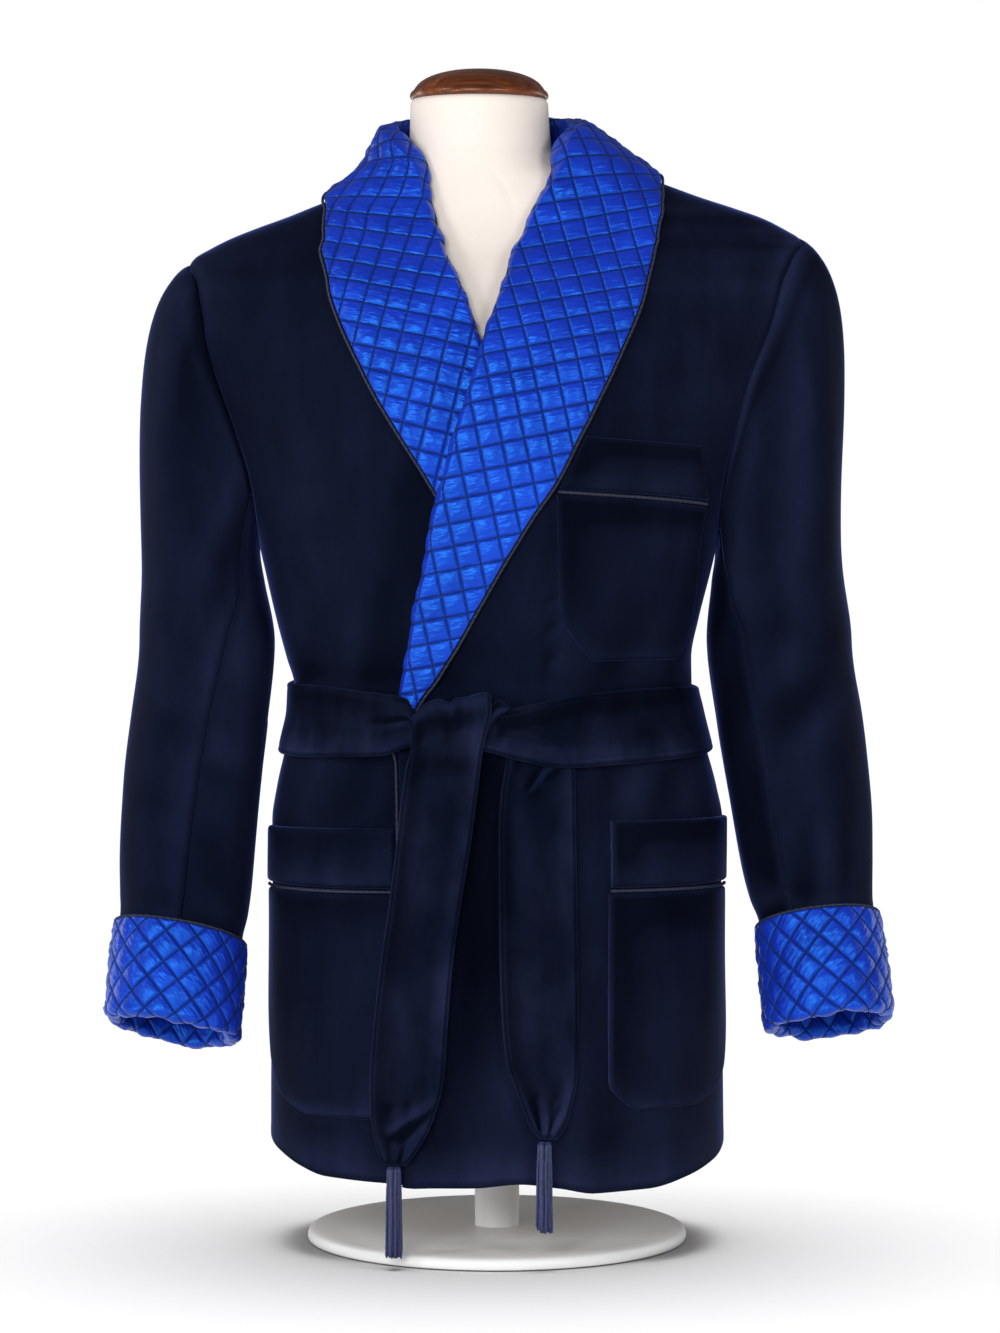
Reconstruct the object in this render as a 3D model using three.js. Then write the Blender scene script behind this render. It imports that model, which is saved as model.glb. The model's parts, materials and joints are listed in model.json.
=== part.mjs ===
// Smoking jacket on a limbless dress form.
// Millimetres, +Z up, front towards -Y. Origin: middle of the base plate's underside.
// The wearer's left is +X. The left front laps over the right one.
import * as THREE from 'three';

// ---------------------------------------------------------------- named sizes
const SEAM = 0.3;          // between two pieces that are sewn edge to edge
const LIE = 1.0;           // between a panel and a piece that lies on it
const NECK_LIFT = 1.3;     // the collar stands this much further off round the neck,
const SHOULDER_LIFT = 2.2; // and this much more where it bends over the shoulder,
const BEND_LIFT = 0.8;     // and this much at the bend from chest to shoulder,
const BEND_EDGE = 1.6;     // where it also turns this much further beyond the front's edge
const HIP_LIE = 1.4;       // the same where a hip pocket runs round the side
const COLLAR_LIE = 2.0;    // between the fronts and the collar, where the cloth curves most
const VELVET = 2.4;        // lined velvet
const SATIN = 3.4;         // quilted satin, both faces and its wadding
const PATCH = 2.0;         // pocket patch
const PATCH_BAND = 3.0;    // turned band at a pocket's mouth, double
const SASH = 4.0;          // sash: double velvet
const CORD_R = 1.3;        // twisted edging cord
const CUFF_CORD_R = 1.2;
const RAISE = 5.0;         // the left front stands this far out where it laps over
const SINK = 5.0;          // the right front lies this far in where it laps under
const UNDERLAP_X = 52;     // the right front's edge, hidden under the left one
const SLEEVE_START = 520;  // height of the sleeve's first full ring
const CUFF_LIP = 28;       // the cuff's turning inside the sleeve
const FORM_BOTTOM = 96, NECK_TOP = 899;
const BASE_R = 150, BASE_T = 10, POST_R = 18;

// ---------------------------------------------------------------- tables
// Level sections of the jacket's outer face: height, half width to the wearer's right and
// left, depth to the front and to the back, and how square the section is.
const BODY = [
  // z, right, left, front, back, square
  [40, 180, 181, 141, 137, 2.25], [62, 179, 180, 140, 136, 2.25], [150, 178.5, 178.5, 138, 138, 2.25],
  [250, 177, 177, 134, 134, 2.25], [332, 177.5, 178, 130, 122, 2.25], [360, 173.5, 173, 128, 114, 2.3],
  [395, 165.5, 163.5, 125, 104, 2.3], [420, 160.5, 157.5, 123.5, 99, 2.3], [440, 160, 153.5, 123.5, 97.5, 2.3],
  [460, 165.5, 153.5, 125.5, 99, 2.3], [490, 173.5, 159, 129.5, 104, 2.3], [540, 185, 171, 135, 112, 2.3],
  [575, 193, 178, 138, 116, 2.3], [610, 203, 187, 139, 119, 2.3], [645, 217, 198, 137, 121, 2.3],
  [680, 232, 210, 131, 120, 2.3], [718, 244, 229, 118, 115, 2.28], [741, 246, 238, 108, 108, 2.25],
  [758, 245, 243, 97, 98, 2.2], [766, 243, 245, 91, 93, 2.2], [774, 238, 246, 85, 89, 2.15],
  [782, 225, 245, 80, 86, 2.1], [790, 209, 238, 75, 83, 2.1], [798, 189, 225, 71, 81, 2.05],
  [806, 167, 209, 68, 79, 2.05], [814, 147, 186, 65, 77, 2.0], [822, 127, 161, 63, 75.5, 2.0],
  [830, 110, 139, 61, 74, 2.0], [838, 97, 117, 59, 73, 2.0], [846, 91, 94, 58, 72, 2.0],
  [854, 88, 75, 57, 70.5, 2.0], [862, 85, 63, 56, 69, 2.0], [880, 84, 58, 55, 68, 2.0], [900, 84, 57, 55, 68, 2.0],
];

// Hem: angle round the body (0 front, 90 wearer's left, 180 back) and height.
const HEM = [
  // t, z
  [-180, 72], [-120, 78], [-90, 84],
  [-68, 77.5], [-55, 69.6], [-46, 64.8],
  [-38, 64.2], [-28, 63], [-24, 62.3],
  [-21, 60.8], [-15.6, 61.5], [-5.6, 62],
  [5.4, 65], [15, 61.4], [23.4, 56.8],
  [38, 57], [52, 63], [68, 71],
  [90, 80], [120, 76], [180, 72],
];

// Front edges below the collar: height and x of the left front's edge.
const EDGE_LEFT = [
  // z, x
  [40, -71], [120, -71], [200, -71.5],
  [300, -72], [347, -72.5], [400, -73.5],
  [418, -72.5],
];

// Shawl collar on the chest, from its lower tip up: roll line (the front's edge) and outer edge.
const COLLAR_LEFT_CHEST = [
  // rollX, rollZ, edgeX, edgeZ
  [-72.5, 418, -65, 418], [-69.8, 437, -53.5, 437], [-63.6, 470, -33.2, 470], [-57.7, 507, -12.7, 507],
  [-51.2, 535, 3.2, 535], [-45.9, 570, 24.3, 570], [-37.6, 599, 43.9, 599], [-29.3, 632, 60.6, 632],
  [-21, 657, 73.5, 657], [-13, 683, 86.6, 683], [-6.5, 706, 97.4, 706], [3.9, 736, 110.1, 737],
  [11.5, 760, 116.4, 761], [21, 784, 122, 785], [29.5, 804, 125.5, 805],
];
const COLLAR_RIGHT_CHEST = [
  [51, 418, 45, 418], [49.8, 437, 33, 437], [43.6, 470, 13, 470], [37.7, 507, -5, 507],
  [31.2, 535, -19, 535], [25.9, 570, -35, 570], [17.6, 599, -52, 600], [9.3, 632, -71.7, 632],
  [1, 657, -87, 657], [-7.5, 683, -101, 683], [-15.8, 706, -112.5, 706], [-26.5, 737, -125, 737],
  [-36.5, 761, -130.5, 762], [-44.5, 784, -131.5, 786], [-52, 805, -131, 808],
];
// The same collar round the neck: angles and heights of the neck seam and of the outer edge on
// the body, how far the roll stands above the seam, how much of the stand is there.
const COLLAR_LEFT_NECK = [
  // seamT, seamZ, edgeT, edgeZ, rise, stand
  [12, 826, 49, 822, 2, 0.12], [31, 844, 63, 830, 8, 0.4], [55, 854, 78, 834.5, 14, 0.75], [90, 859, 92, 836, 19, 1],
  [120, 859, 126, 835, 24, 1], [142, 858, 147, 831, 27, 1], [158, 858, 167, 828, 29, 1], [172, 858, 186, 826, 30, 1],
];
const COLLAR_RIGHT_NECK = [
  [-34, 827, -66, 814, 2, 0.12], [-50, 845, -79, 819.5, 9, 0.4], [-68, 853, -90, 822, 15, 0.75], [-95, 856, -106, 825.5, 21, 1],
  [-122, 857, -127, 828.5, 25, 1], [-145, 858, -147, 829, 27, 1], [-168, 858, -162, 827.5, 29, 1], [-188, 858, -174, 826, 30, 1],
];

// Armhole: angle round it (0 shoulder tip, 90 front, 180 underarm), its depth to front and back,
// and its height on the wearer's right and left.
const ARMHOLE = [
  // phi, y, zRight, zLeft
  [0, 2, 771, 793], [30, -32, 757, 776], [60, -52, 718, 734], [90, -56, 667, 678], [120, -52, 614, 620],
  [150, -36, 567, 569], [180, -4, 546, 546], [210, 34, 566, 566], [240, 52, 612, 614], [270, 57, 667, 676],
  [300, 54, 722, 736], [330, 36, 760, 778], [360, 2, 771, 793],
];
// The way the sleeve leaves the armhole: outward, to the front (negative) and up.
const SLEEVE_HEAD = [
  // phi, out, y, z
  [0, 0.88, 0, -0.47], [45, 0.82, -0.36, -0.44], [90, 0.62, -0.25, -0.74], [135, 0.36, -0.28, -0.89],
  [180, 0.16, 0, -0.99], [225, 0.36, 0.28, -0.89], [270, 0.62, 0.3, -0.72], [315, 0.82, 0.38, -0.43], [360, 0.88, 0, -0.47],
];
// Sleeve rings: height, centre, half width, half depth, slope of the ring outward and to the front.
const SLEEVE_RIGHT = [
  // z, x, y, halfWidth, halfDepth, slopeOut, slopeFront
  [520, -231.7, 0, 48.2, 66, 0, 0], [474, -228.5, -5, 53.2, 62.5, 0.02, 0.04], [411, -234.3, -14, 53.3, 59, 0.06, 0.12],
  [348, -240, -26, 53, 55, 0.1, 0.2], [300, -243, -38, 52, 52, 0.14, 0.28], [270, -244.3, -46.5, 49.8, 49.5, 0.16, 0.32], [252, -246, -51.5, 47.5, 47.5, 0.17, 0.33],
  [245, -246.5, -53.5, 47.5, 47.5, 0.17, 0.33], [175.5, -251.5, -75, 47.5, 47, 0.17, 0.33], [150, -253.5, -83, 47.5, 47, 0.17, 0.33],
];
const SLEEVE_LEFT = [
  [520, 221.8, 0, 52.2, 66, 0, 0], [474, 222.5, -5, 57, 62.5, 0.02, 0.04], [411, 230.1, -14, 56.8, 59, 0.04, 0.12],
  [348, 237.9, -26, 54.3, 55, 0.06, 0.2], [300, 242.6, -38, 50.4, 51, 0.08, 0.28], [278, 245.4, -44.5, 47.3, 48.5, 0.09, 0.31], [262, 249, -48.5, 44.5, 47, 0.1, 0.33],
  [255, 250, -50.5, 44.5, 47, 0.1, 0.33], [180, 257, -74, 45.5, 47, 0.1, 0.33], [150, 259, -83, 45.5, 47, 0.1, 0.33],
];
// Sleeve seams: the station down the sleeve (0 armhole, 1 first ring, 2 cuff fold), then the
// angles of the front and the hind seam, right and left.
const SLEEVE_SEAMS = [
  // q, frontRight, frontLeft, hind
  [0, 135, 157.5, 225], [1, 130, 140, 225], [1.13, 111, 122, 227], [1.5, 99, 119, 230], [2, 92, 119, 233],
];
const CUFFS = { right: { top: 245, fold: 175.5 }, left: { top: 255, fold: 180 } };

// Pockets: rows from the top down, with the x of both side edges.
const BREAST_BAND = [
  // zLeftEnd, xLeftEnd, zRightEnd, xRightEnd
  [632, 64.5, 626, 155], [592.5, 46.5, 584.5, 160.5],
];
const BREAST_PATCH = [
  [588.5, 44.8, 579, 159.5], [544, 45.2, 540, 154.5], [499, 47.5, 505, 153], [478, 58, 479, 148.5], [462, 71.5, 461, 139],
];
const HIP_LEFT_BAND = [[340, 86, 337, 177], [289, 86.5, 286, 177]];
const HIP_LEFT_PATCH = [
  [284, 84.5, 281, 177], [235, 84, 232, 177.6], [188, 83.5, 187, 177.8], [142, 84, 146, 176],
  [127, 94, 127, 168], [117.5, 108, 118, 154],
];
const HIP_RIGHT_BAND = [[329.5, -176.3, 334, -78], [285.5, -176.6, 288, -78.5]];
const HIP_RIGHT_PATCH = [
  [280.5, -176.8, 283, -79.5], [235, -177.4, 235, -79.5], [190, -177.4, 188, -79.5], [152, -175, 146, -80],
  [124, -166, 126, -84], [110.5, -147, 111.5, -93],
];

// Sash band round the waist: angle, height of its upper and lower edge, distance off the body.
const BAND = [
  // t, top, bottom, off
  [-180, 446, 388, 2], [-120, 444, 386.5, 1.9], [-90, 441.2, 385.5, 1.8],
  [-60, 442.5, 385, 2], [-50, 442, 386, 3], [-44, 441, 386.5, 4.4],
  [-38, 439.6, 387, 7.8], [-34, 438.4, 387.5, 9.6], [-31, 436, 388, 10.9],
  [-29.4, 432.5, 388.3, 11.4], [-27, 424, 389.8, 11.5], [-21, 412.5, 395.4, 11.5],
  [-18, 413, 395, 11.5], [-14, 419, 394.5, 11.5], [-3.6, 422.6, 393, 11.5],
  [0, 423.6, 390.6, 11.5], [4, 425.8, 387, 11.4], [8.6, 428.4, 383.9, 11.3],
  [13, 431, 380.9, 11.2], [20, 435, 379.9, 11.2], [26, 437.2, 380.8, 10.8],
  [34, 438.8, 382, 7], [46, 440.2, 383.6, 3.4], [60, 440.4, 385, 2.2],
  [90, 437.5, 387.5, 1.8], [120, 440, 387.5, 1.9], [180, 446, 388, 2],
];
const BAND_START = -19, BAND_SWEEP = 355;
// Knot under the front fall: x, upper and lower edge.
const KNOT = [
  // x, top, bottom
  [-54, 417.5, 406], [-34, 421, 403], [-14, 423, 401],
  [1, 433.5, 420], [5, 431, 422.5], [9.5, 427.5, 425.5],
];
const KNOT_OFF = 16.1, KNOT_T = 3.0;
// Sash end that falls over the knot: height, side edges, distance of its middle off the body.
const FALL_FRONT = [
  // z, xLeftEdge, xRightEdge, off
  [431.5, -60, -5.5, 12.5], [436.2, -60, -5, 14.5], [436.5, -60, -4.5, 19],
  [432, -59.5, -4, 22], [424.7, -59.5, -3.7, 23], [402.1, -60.4, -8.2, 23],
  [391.5, -62.4, -10.4, 22.5], [371.5, -66.1, -12.8, 18], [351.6, -69.4, -15.4, 15.5],
  [327.6, -72.4, -18.4, 13.3], [274, -78.7, -26.9, 11.8], [226.8, -85, -32.9, 11.4],
  [179.8, -90, -36.4, 11.3], [145, -92.3, -38.7, 11.3], [120.7, -92, -44.6, 11.3],
  [100.9, -89.6, -52.2, 11.5], [90.2, -86.9, -58.5, 12], [79.6, -81.8, -66, 12.4],
];
// Lift of the fall's upper rows across its width.
const FALL_TOP = [
  // share of the width, lift
  [0, -12], [0.16, -8], [0.32, -6],
  [0.5, -6], [0.7, -2.6], [0.9, 0],
  [1, -0.4],
];
// Sash end that hangs from behind the band.
const FALL_SIDE = [
  [402, 7.8, 57.6, 8.1], [386, 6.8, 57.6, 8.1], [358, 2.7, 58, 9],
  [328, 1.3, 58.2, 10], [281, 1.6, 58.8, 10.4], [236, 2, 59.4, 10.5],
  [190, 3.8, 59.7, 10.9], [160, 6.9, 59.2, 11.5], [141, 13, 57.9, 12],
  [125, 18.5, 54.5, 12.6], [110, 24.5, 50.2, 13.6], [100.5, 31.4, 43.6, 15],
];
// Tassels: top height, then radii down their length.
const TASSELS = { front: { x: -78.2, z: 78.4 }, side: { x: 36, z: 99 } };
const TASSEL_PROFILE = [
  // radius, share of the length
  [0, 0], [5.6, 0], [6.6, 0.04], [6.1, 0.13], [6.6, 0.3], [7.1, 0.6], [7.5, 1], [0, 1],
];
const TASSEL_LENGTH = 70;

// Dress form: level sections as for the body.
const FORM = [
  // z, right, left, front, back, square
  [96, 158, 158, 117, 114, 2.2], [180, 161, 161, 119, 116, 2.2], [280, 160, 160, 117, 113, 2.2], [350, 154, 153, 112, 98, 2.2],
  [427, 143, 139, 107, 84, 2.2], [490, 153, 141, 112, 90, 2.2], [575, 168, 158, 121, 102, 2.25], [645, 178, 173, 121, 107, 2.3],
  [700, 186, 184, 111, 104, 2.3], [741, 187, 188, 94, 95, 2.3], [760, 181, 186, 82, 86, 2.2], [775, 167, 180, 72, 78, 2.15],
  [790, 147, 168, 65, 73, 2.1], [806, 121, 147, 60, 69, 2.05], [820, 99, 119, 57, 66, 2.0], [834, 82, 84, 53, 62, 2.0],
  [848, 72, 52, 50.5, 59, 2.0], [862, 69, 43, 49.5, 58.5, 2.0], [899, 68, 40, 49.5, 58.5, 2.0],
];
const CAP_PROFILE = [
  // radius, height above the neck
  [0, 0.3], [50, 0.3], [53.6, 1.4], [54.6, 3.4], [54.2, 5.6], [52, 7.4], [51, 9.2], [46, 14.6], [36, 19.6], [22, 22.9], [0, 24.2],
];

// ---------------------------------------------------------------- small maths
const rad = (d) => d * Math.PI / 180;
const lerp = (a, b, t) => a + (b - a) * t;
const V = (x, y, z) => new THREE.Vector3(x, y, z);
const smooth = (a, b, x) => { const t = Math.min(1, Math.max(0, (x - a) / (b - a))); return t * t * (3 - 2 * t); };

// Smooth curve through a table's column (no overshoot between rows).
function curve(rows, xi, yi) {
  const X = rows.map((r) => r[xi]), Y = rows.map((r) => r[yi]), n = X.length, h = [], d = [];
  for (let i = 0; i < n - 1; i++) { h.push(X[i + 1] - X[i]); d.push((Y[i + 1] - Y[i]) / h[i]); }
  const m = new Array(n).fill(0);
  m[0] = d[0]; m[n - 1] = d[n - 2];
  for (let i = 1; i < n - 1; i++) {
    if (d[i - 1] * d[i] > 0) {
      const a = 2 * h[i] + h[i - 1], b = h[i] + 2 * h[i - 1];
      m[i] = (a + b) / (a / d[i - 1] + b / d[i]);
    }
  }
  return (x) => {
    let i = 0;
    while (i < n - 2 && x > X[i + 1]) i++;
    const t = Math.min(1, Math.max(0, (x - X[i]) / h[i])), t2 = t * t, t3 = t2 * t;
    return Y[i] * (2 * t3 - 3 * t2 + 1) + m[i] * h[i] * (t3 - 2 * t2 + t) + Y[i + 1] * (-2 * t3 + 3 * t2) + m[i + 1] * h[i] * (t3 - t2);
  };
}
const byRow = (rows, i) => curve(rows.map((r, k) => [k, r[i]]), 0, 1);

function sections(table) {
  const col = [1, 2, 3, 4, 5].map((i) => curve(table, 0, i));
  return (t, z, grow = 0) => {
    const r = col[0](z), l = col[1](z), f = col[2](z), b = col[3](z), n = col[4](z);
    const s = Math.sin(rad(t)), c = Math.cos(rad(t)), a = (r + l) / 2 + grow;
    const k = Math.pow(Math.pow(Math.abs(s), n) + Math.pow(Math.abs(c), n), -1 / n);
    return V((l - r) / 2 + a * s * k, -(c >= 0 ? f + grow : b + grow) * c * k, z);
  };
}
const bodyAt = sections(BODY);
const bodyCol = [1, 2, 3, 4, 5].map((i) => curve(BODY, 0, i));

// Angle of the front point at x, and of the point at depth y on one side.
function angleOfX(x, z) {
  const r = bodyCol[0](z), l = bodyCol[1](z), n = bodyCol[4](z);
  const u = Math.min(1, Math.abs((x - (l - r) / 2) / ((l + r) / 2)));
  return Math.sign(x - (l - r) / 2) * Math.atan2(u, Math.pow(1 - Math.pow(u, n), 1 / n)) * 180 / Math.PI;
}
function angleOfY(y, z, side) {
  const f = bodyCol[2](z), b = bodyCol[3](z), n = bodyCol[4](z);
  const v = Math.min(1, Math.abs(y) / (y < 0 ? f : b)), u = Math.pow(1 - Math.pow(v, n), 1 / n);
  return side * Math.atan2(u, y < 0 ? v : -v) * 180 / Math.PI;
}
function bodyNormal(t, z) {
  const a = bodyAt(t + 0.6, z).sub(bodyAt(t - 0.6, z)), b = bodyAt(t, z + 1.5).sub(bodyAt(t, z - 1.5));
  return a.cross(b).normalize();
}

// How far the two fronts leave the body's face where they lap.
const rollLeftX = curve([...EDGE_LEFT.slice(0, -1), ...COLLAR_LEFT_CHEST.map((r) => [r[1], r[0]])], 0, 1);
const raiseAt = (x, z) => RAISE * (1 - smooth(58, 115, x)) * (1 - smooth(690, 765, z)) * smooth(-175, -120, x);
const sinkAt = (x, z) => SINK * smooth(-46, -2, x - rollLeftX(Math.min(z, 700))) * (1 - smooth(690, 745, z));
function onBody(t, z, off, fold) {
  const p = bodyAt(t, z), n = bodyNormal(t, z);
  const extra = fold === 'over' ? raiseAt(p.x, z) : fold === 'under' ? -sinkAt(p.x, z) : 0;
  return p.addScaledVector(n, off + extra);
}

// ---------------------------------------------------------------- solids
function geometryOf(points, faces) {
  let volume = 0;
  for (const [a, b, c] of faces) volume += points[a].dot(points[b].clone().cross(points[c]));
  const index = [];
  for (const [a, b, c] of faces) index.push(...(volume > 0 ? [a, b, c] : [a, c, b]));
  const g = new THREE.BufferGeometry();
  g.setAttribute('position', new THREE.Float32BufferAttribute(points.flatMap((p) => [p.x, p.y, p.z]), 3));
  g.setIndex(index);
  g.computeVertexNormals();
  return g;
}
// A wall between two grids of points, closed along its edges.
function wall(outer, inner) {
  const rows = outer.length, cols = outer[0].length, points = [...outer.flat(), ...inner.flat()], faces = [];
  const at = (side, i, j) => side * rows * cols + i * cols + j;
  for (let i = 0; i < rows - 1; i++) for (let j = 0; j < cols - 1; j++) for (const s of [0, 1]) {
    const q = [at(s, i, j), at(s, i, j + 1), at(s, i + 1, j + 1), at(s, i + 1, j)];
    if (s) q.reverse();
    faces.push(...(s ? [[q[3], q[2], q[1]], [q[3], q[1], q[0]]].map((f) => [f[2], f[1], f[0]]) : [[q[0], q[1], q[2]], [q[0], q[2], q[3]]]));
  }
  const rim = [];
  for (let j = 0; j < cols - 1; j++) rim.push([0, j]);
  for (let i = 0; i < rows - 1; i++) rim.push([i, cols - 1]);
  for (let j = cols - 1; j > 0; j--) rim.push([rows - 1, j]);
  for (let i = rows - 1; i > 0; i--) rim.push([i, 0]);
  rim.forEach(([i, j], k) => {
    const [m, n] = rim[(k + 1) % rim.length];
    const a = at(0, i, j), b = at(0, m, n), c = at(1, m, n), d = at(1, i, j);
    faces.push([b, a, d], [b, d, c]);
  });
  return geometryOf(points, faces);
}
// A solid through closed rings; it ends in flat-wise caps, or runs round into itself.
function skin(rings, round = false) {
  const n = rings[0].length, m = rings.length, points = rings.flat(), faces = [];
  for (let i = 0; i < (round ? m : m - 1); i++) for (let j = 0; j < n; j++) {
    const a = i * n + j, b = i * n + (j + 1) % n, c = ((i + 1) % m) * n + (j + 1) % n, d = ((i + 1) % m) * n + j;
    faces.push([a, b, c], [a, c, d]);
  }
  if (!round) for (const end of [0, m - 1]) {
    const ring = rings[end], mid = ring.reduce((s, p) => s.add(p), V(0, 0, 0)).divideScalar(n), nor = V(0, 0, 0);
    ring.forEach((p, k) => nor.add(p.clone().sub(mid).cross(ring[(k + 1) % n].clone().sub(mid))));
    nor.normalize();
    const e1 = ring[0].clone().sub(mid), e2 = nor.clone().cross(e1.addScaledVector(nor, -e1.dot(nor)).normalize());
    const flat = ring.map((p) => new THREE.Vector2(p.clone().sub(mid).dot(e1), p.clone().sub(mid).dot(e2)));
    for (const f of THREE.ShapeUtils.triangulateShape(flat, [])) {
      const t = f.map((k) => end * n + k);
      faces.push(end === 0 ? [t[0], t[2], t[1]] : t);
    }
  }
  return geometryOf(points, faces);
}
// A round cord along points that follow a panel.
function cord(points, radius, sides = 5) {
  const path = new THREE.CatmullRomCurve3(points);
  const shape = new THREE.Shape(Array.from({ length: sides }, (_, k) => new THREE.Vector2(radius * Math.cos(rad(360 * k / sides)), radius * Math.sin(rad(360 * k / sides)))));
  return new THREE.ExtrudeGeometry(shape, { steps: points.length - 1, bevelEnabled: false, extrudePath: path });
}

// A panel between four edges given as angle and height, laid on the body. Rows and columns are
// shares of the edges; each inner point blends all four.
function panel({ bottom, top, start, end, cols, rows, thick, fold }) {
  const outer = [], inner = [], c = [bottom(0), bottom(1), top(0), top(1)];
  for (const v of rows) {
    const o = [], n = [];
    for (let j = 0; j <= cols; j++) {
      const u = j / cols, B = bottom(u), T = top(u), S = start(v), E = end(v);
      const [t, z] = [0, 1].map((k) => lerp(B[k], T[k], v) + lerp(S[k], E[k], u) - lerp(lerp(c[0][k], c[1][k], u), lerp(c[2][k], c[3][k], u), v));
      o.push(onBody(t, z, 0, fold));
      n.push(onBody(t, z, -thick, fold));
    }
    outer.push(o); inner.push(n);
  }
  return wall(outer, inner);
}

// ---------------------------------------------------------------- fronts and back
const hemZ = curve(HEM, 0, 1);
const sides = { right: -1, left: 1 };
function armholeAt(side, phi) {
  const p = ((phi % 360) + 360) % 360, s = sides[side];
  const z = curve(ARMHOLE, 0, side === 'right' ? 2 : 3)(p), y = curve(ARMHOLE, 0, 1)(p);
  return [angleOfY(y, z, s), z];
}
const seamT = 0.05; // half a seam, as an angle on the body
// A panel's rows: heights below the underarm, then shares of the armhole.
const LOW_ROWS = [140, 230, 300, 350, 388, 414, 434, 452, 474, 506, 546];
// Above the underarm each row ends at one of these angles round the armhole, where a column of
// the sleeve starts; NECK_SHARE spaces the same rows along the front's neck edge.
const ARM_PHI = [180, 157.5, 135, 112.5, 90, 67.5, 45, 22.5, 11.25, 0], HIGH = ARM_PHI.length - 1;
const NECK_SHARE = [0, 0.16, 0.31, 0.45, 0.57, 0.68, 0.78, 0.87, 0.94, 1];
const along = (list, k) => { const i = Math.min(HIGH - 1, Math.floor(k * HIGH + 1e-9)); return lerp(list[i], list[i + 1], k * HIGH - i); };
const rowsOf = (z0) => [0, ...LOW_ROWS.map((z) => UNDERARM_V * (z - z0) / (546 - z0)), ...NECK_SHARE.slice(1).map((_, k) => UNDERARM_V + (1 - UNDERARM_V) * (k + 1) / HIGH)];
const UNDERARM_V = 0.6;

// Neck edge of a front, from the hem up: edge, roll line, neck seam.
function frontEdge(side) {
  const row = collarRows(side), tip = row(0), edge = side === 'left' ? EDGE_LEFT : [[40, UNDERLAP_X], [418, 51]];
  const xAt = curve([...edge.filter((r) => r[0] < tip[1]), [tip[1], bodyAt(tip[0], tip[1]).x]], 0, 1);
  const station = (done) => { let a = 0, b = 1; for (let i = 0; i < 40; i++) { const m = (a + b) / 2; if (done(row(m))) b = m; else a = m; } return a; };
  const from = station((r) => r[1] > 546), to = station((r) => Math.abs(r[0]) > 90 - seamT), x0 = xAt(65), z0 = hemZ(angleOfX(x0, 65));
  return (v) => {
    if (v <= UNDERARM_V) {
      const z = lerp(z0, 546, v / UNDERARM_V);
      return [z < tip[1] ? angleOfX(xAt(z), z) : row(station((r) => r[1] > z))[0], z];
    }
    return row(lerp(from, to, along(NECK_SHARE, (v - UNDERARM_V) / (1 - UNDERARM_V)))).slice(0, 2);
  };
}
// Side seam up to the underarm, then the armhole's front or hind half up to the shoulder tip.
function sideEdge(side, hind) {
  const s = sides[side], z0 = hemZ(s * 90), edge = s * (hind ? 90 + seamT : 90 - seamT);
  return (v) => {
    if (v <= UNDERARM_V) return [edge, lerp(z0, 546, v / UNDERARM_V)];
    const k = (v - UNDERARM_V) / (1 - UNDERARM_V), p = along(ARM_PHI, k), phi = hind ? 360 - p : p;
    const [t, z] = armholeAt(side, Math.min(phi, 359.99)), w = hind ? Math.max(s * t, 90 + seamT) * s : Math.min(s * t, 90 - seamT) * s;
    return [lerp(edge, w, Math.min(1, k / 0.04, (1 - k) / 0.04)), z];
  };
}
function front(side) {
  const s = sides[side], start = frontEdge(side), end = sideEdge(side, false), a = start(0), b = end(0), c = start(1), d = end(1);
  return panel({
    bottom: (u) => { const t = lerp(a[0], b[0], u); return [t, hemZ(t)]; },
    top: (u) => [s * (90 - seamT), lerp(c[1], d[1], u)],
    start, end, cols: 10, rows: rowsOf(75), thick: VELVET, fold: side === 'left' ? 'over' : 'under',
  });
}
const wrap = (t) => (t > 180 ? t - 360 : t < -180 ? t + 360 : t);
// The back runs from the wearer's left (90) round to the right (270).
function backPanel() {
  const start = sideEdge('left', true), right = sideEdge('right', true), end = (v) => { const p = right(v); return [p[0] + 360, p[1]]; };
  const tipL = start(1), tipR = end(1), neckL = frontEdge('left')(1)[1], neckR = frontEdge('right')(1)[1], shoulder = 0.22;
  return panel({
    bottom: (u) => { const t = lerp(90 + seamT, 270 - seamT, u); return [t, hemZ(wrap(t))]; },
    top: (u) => {
      if (u < shoulder) return [90 + seamT, lerp(tipL[1], neckL, u / shoulder)];
      if (u > 1 - shoulder) return [270 - seamT, lerp(tipR[1], neckR, (1 - u) / shoulder)];
      const k = (u - shoulder) / (1 - 2 * shoulder);
      return [lerp(90 + seamT, 270 - seamT, k), lerp(lerp(neckL, neckR, k), 858, Math.sin(Math.PI * k))];
    },
    start, end, cols: 16, rows: rowsOf(75), thick: VELVET,
  });
}

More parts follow.
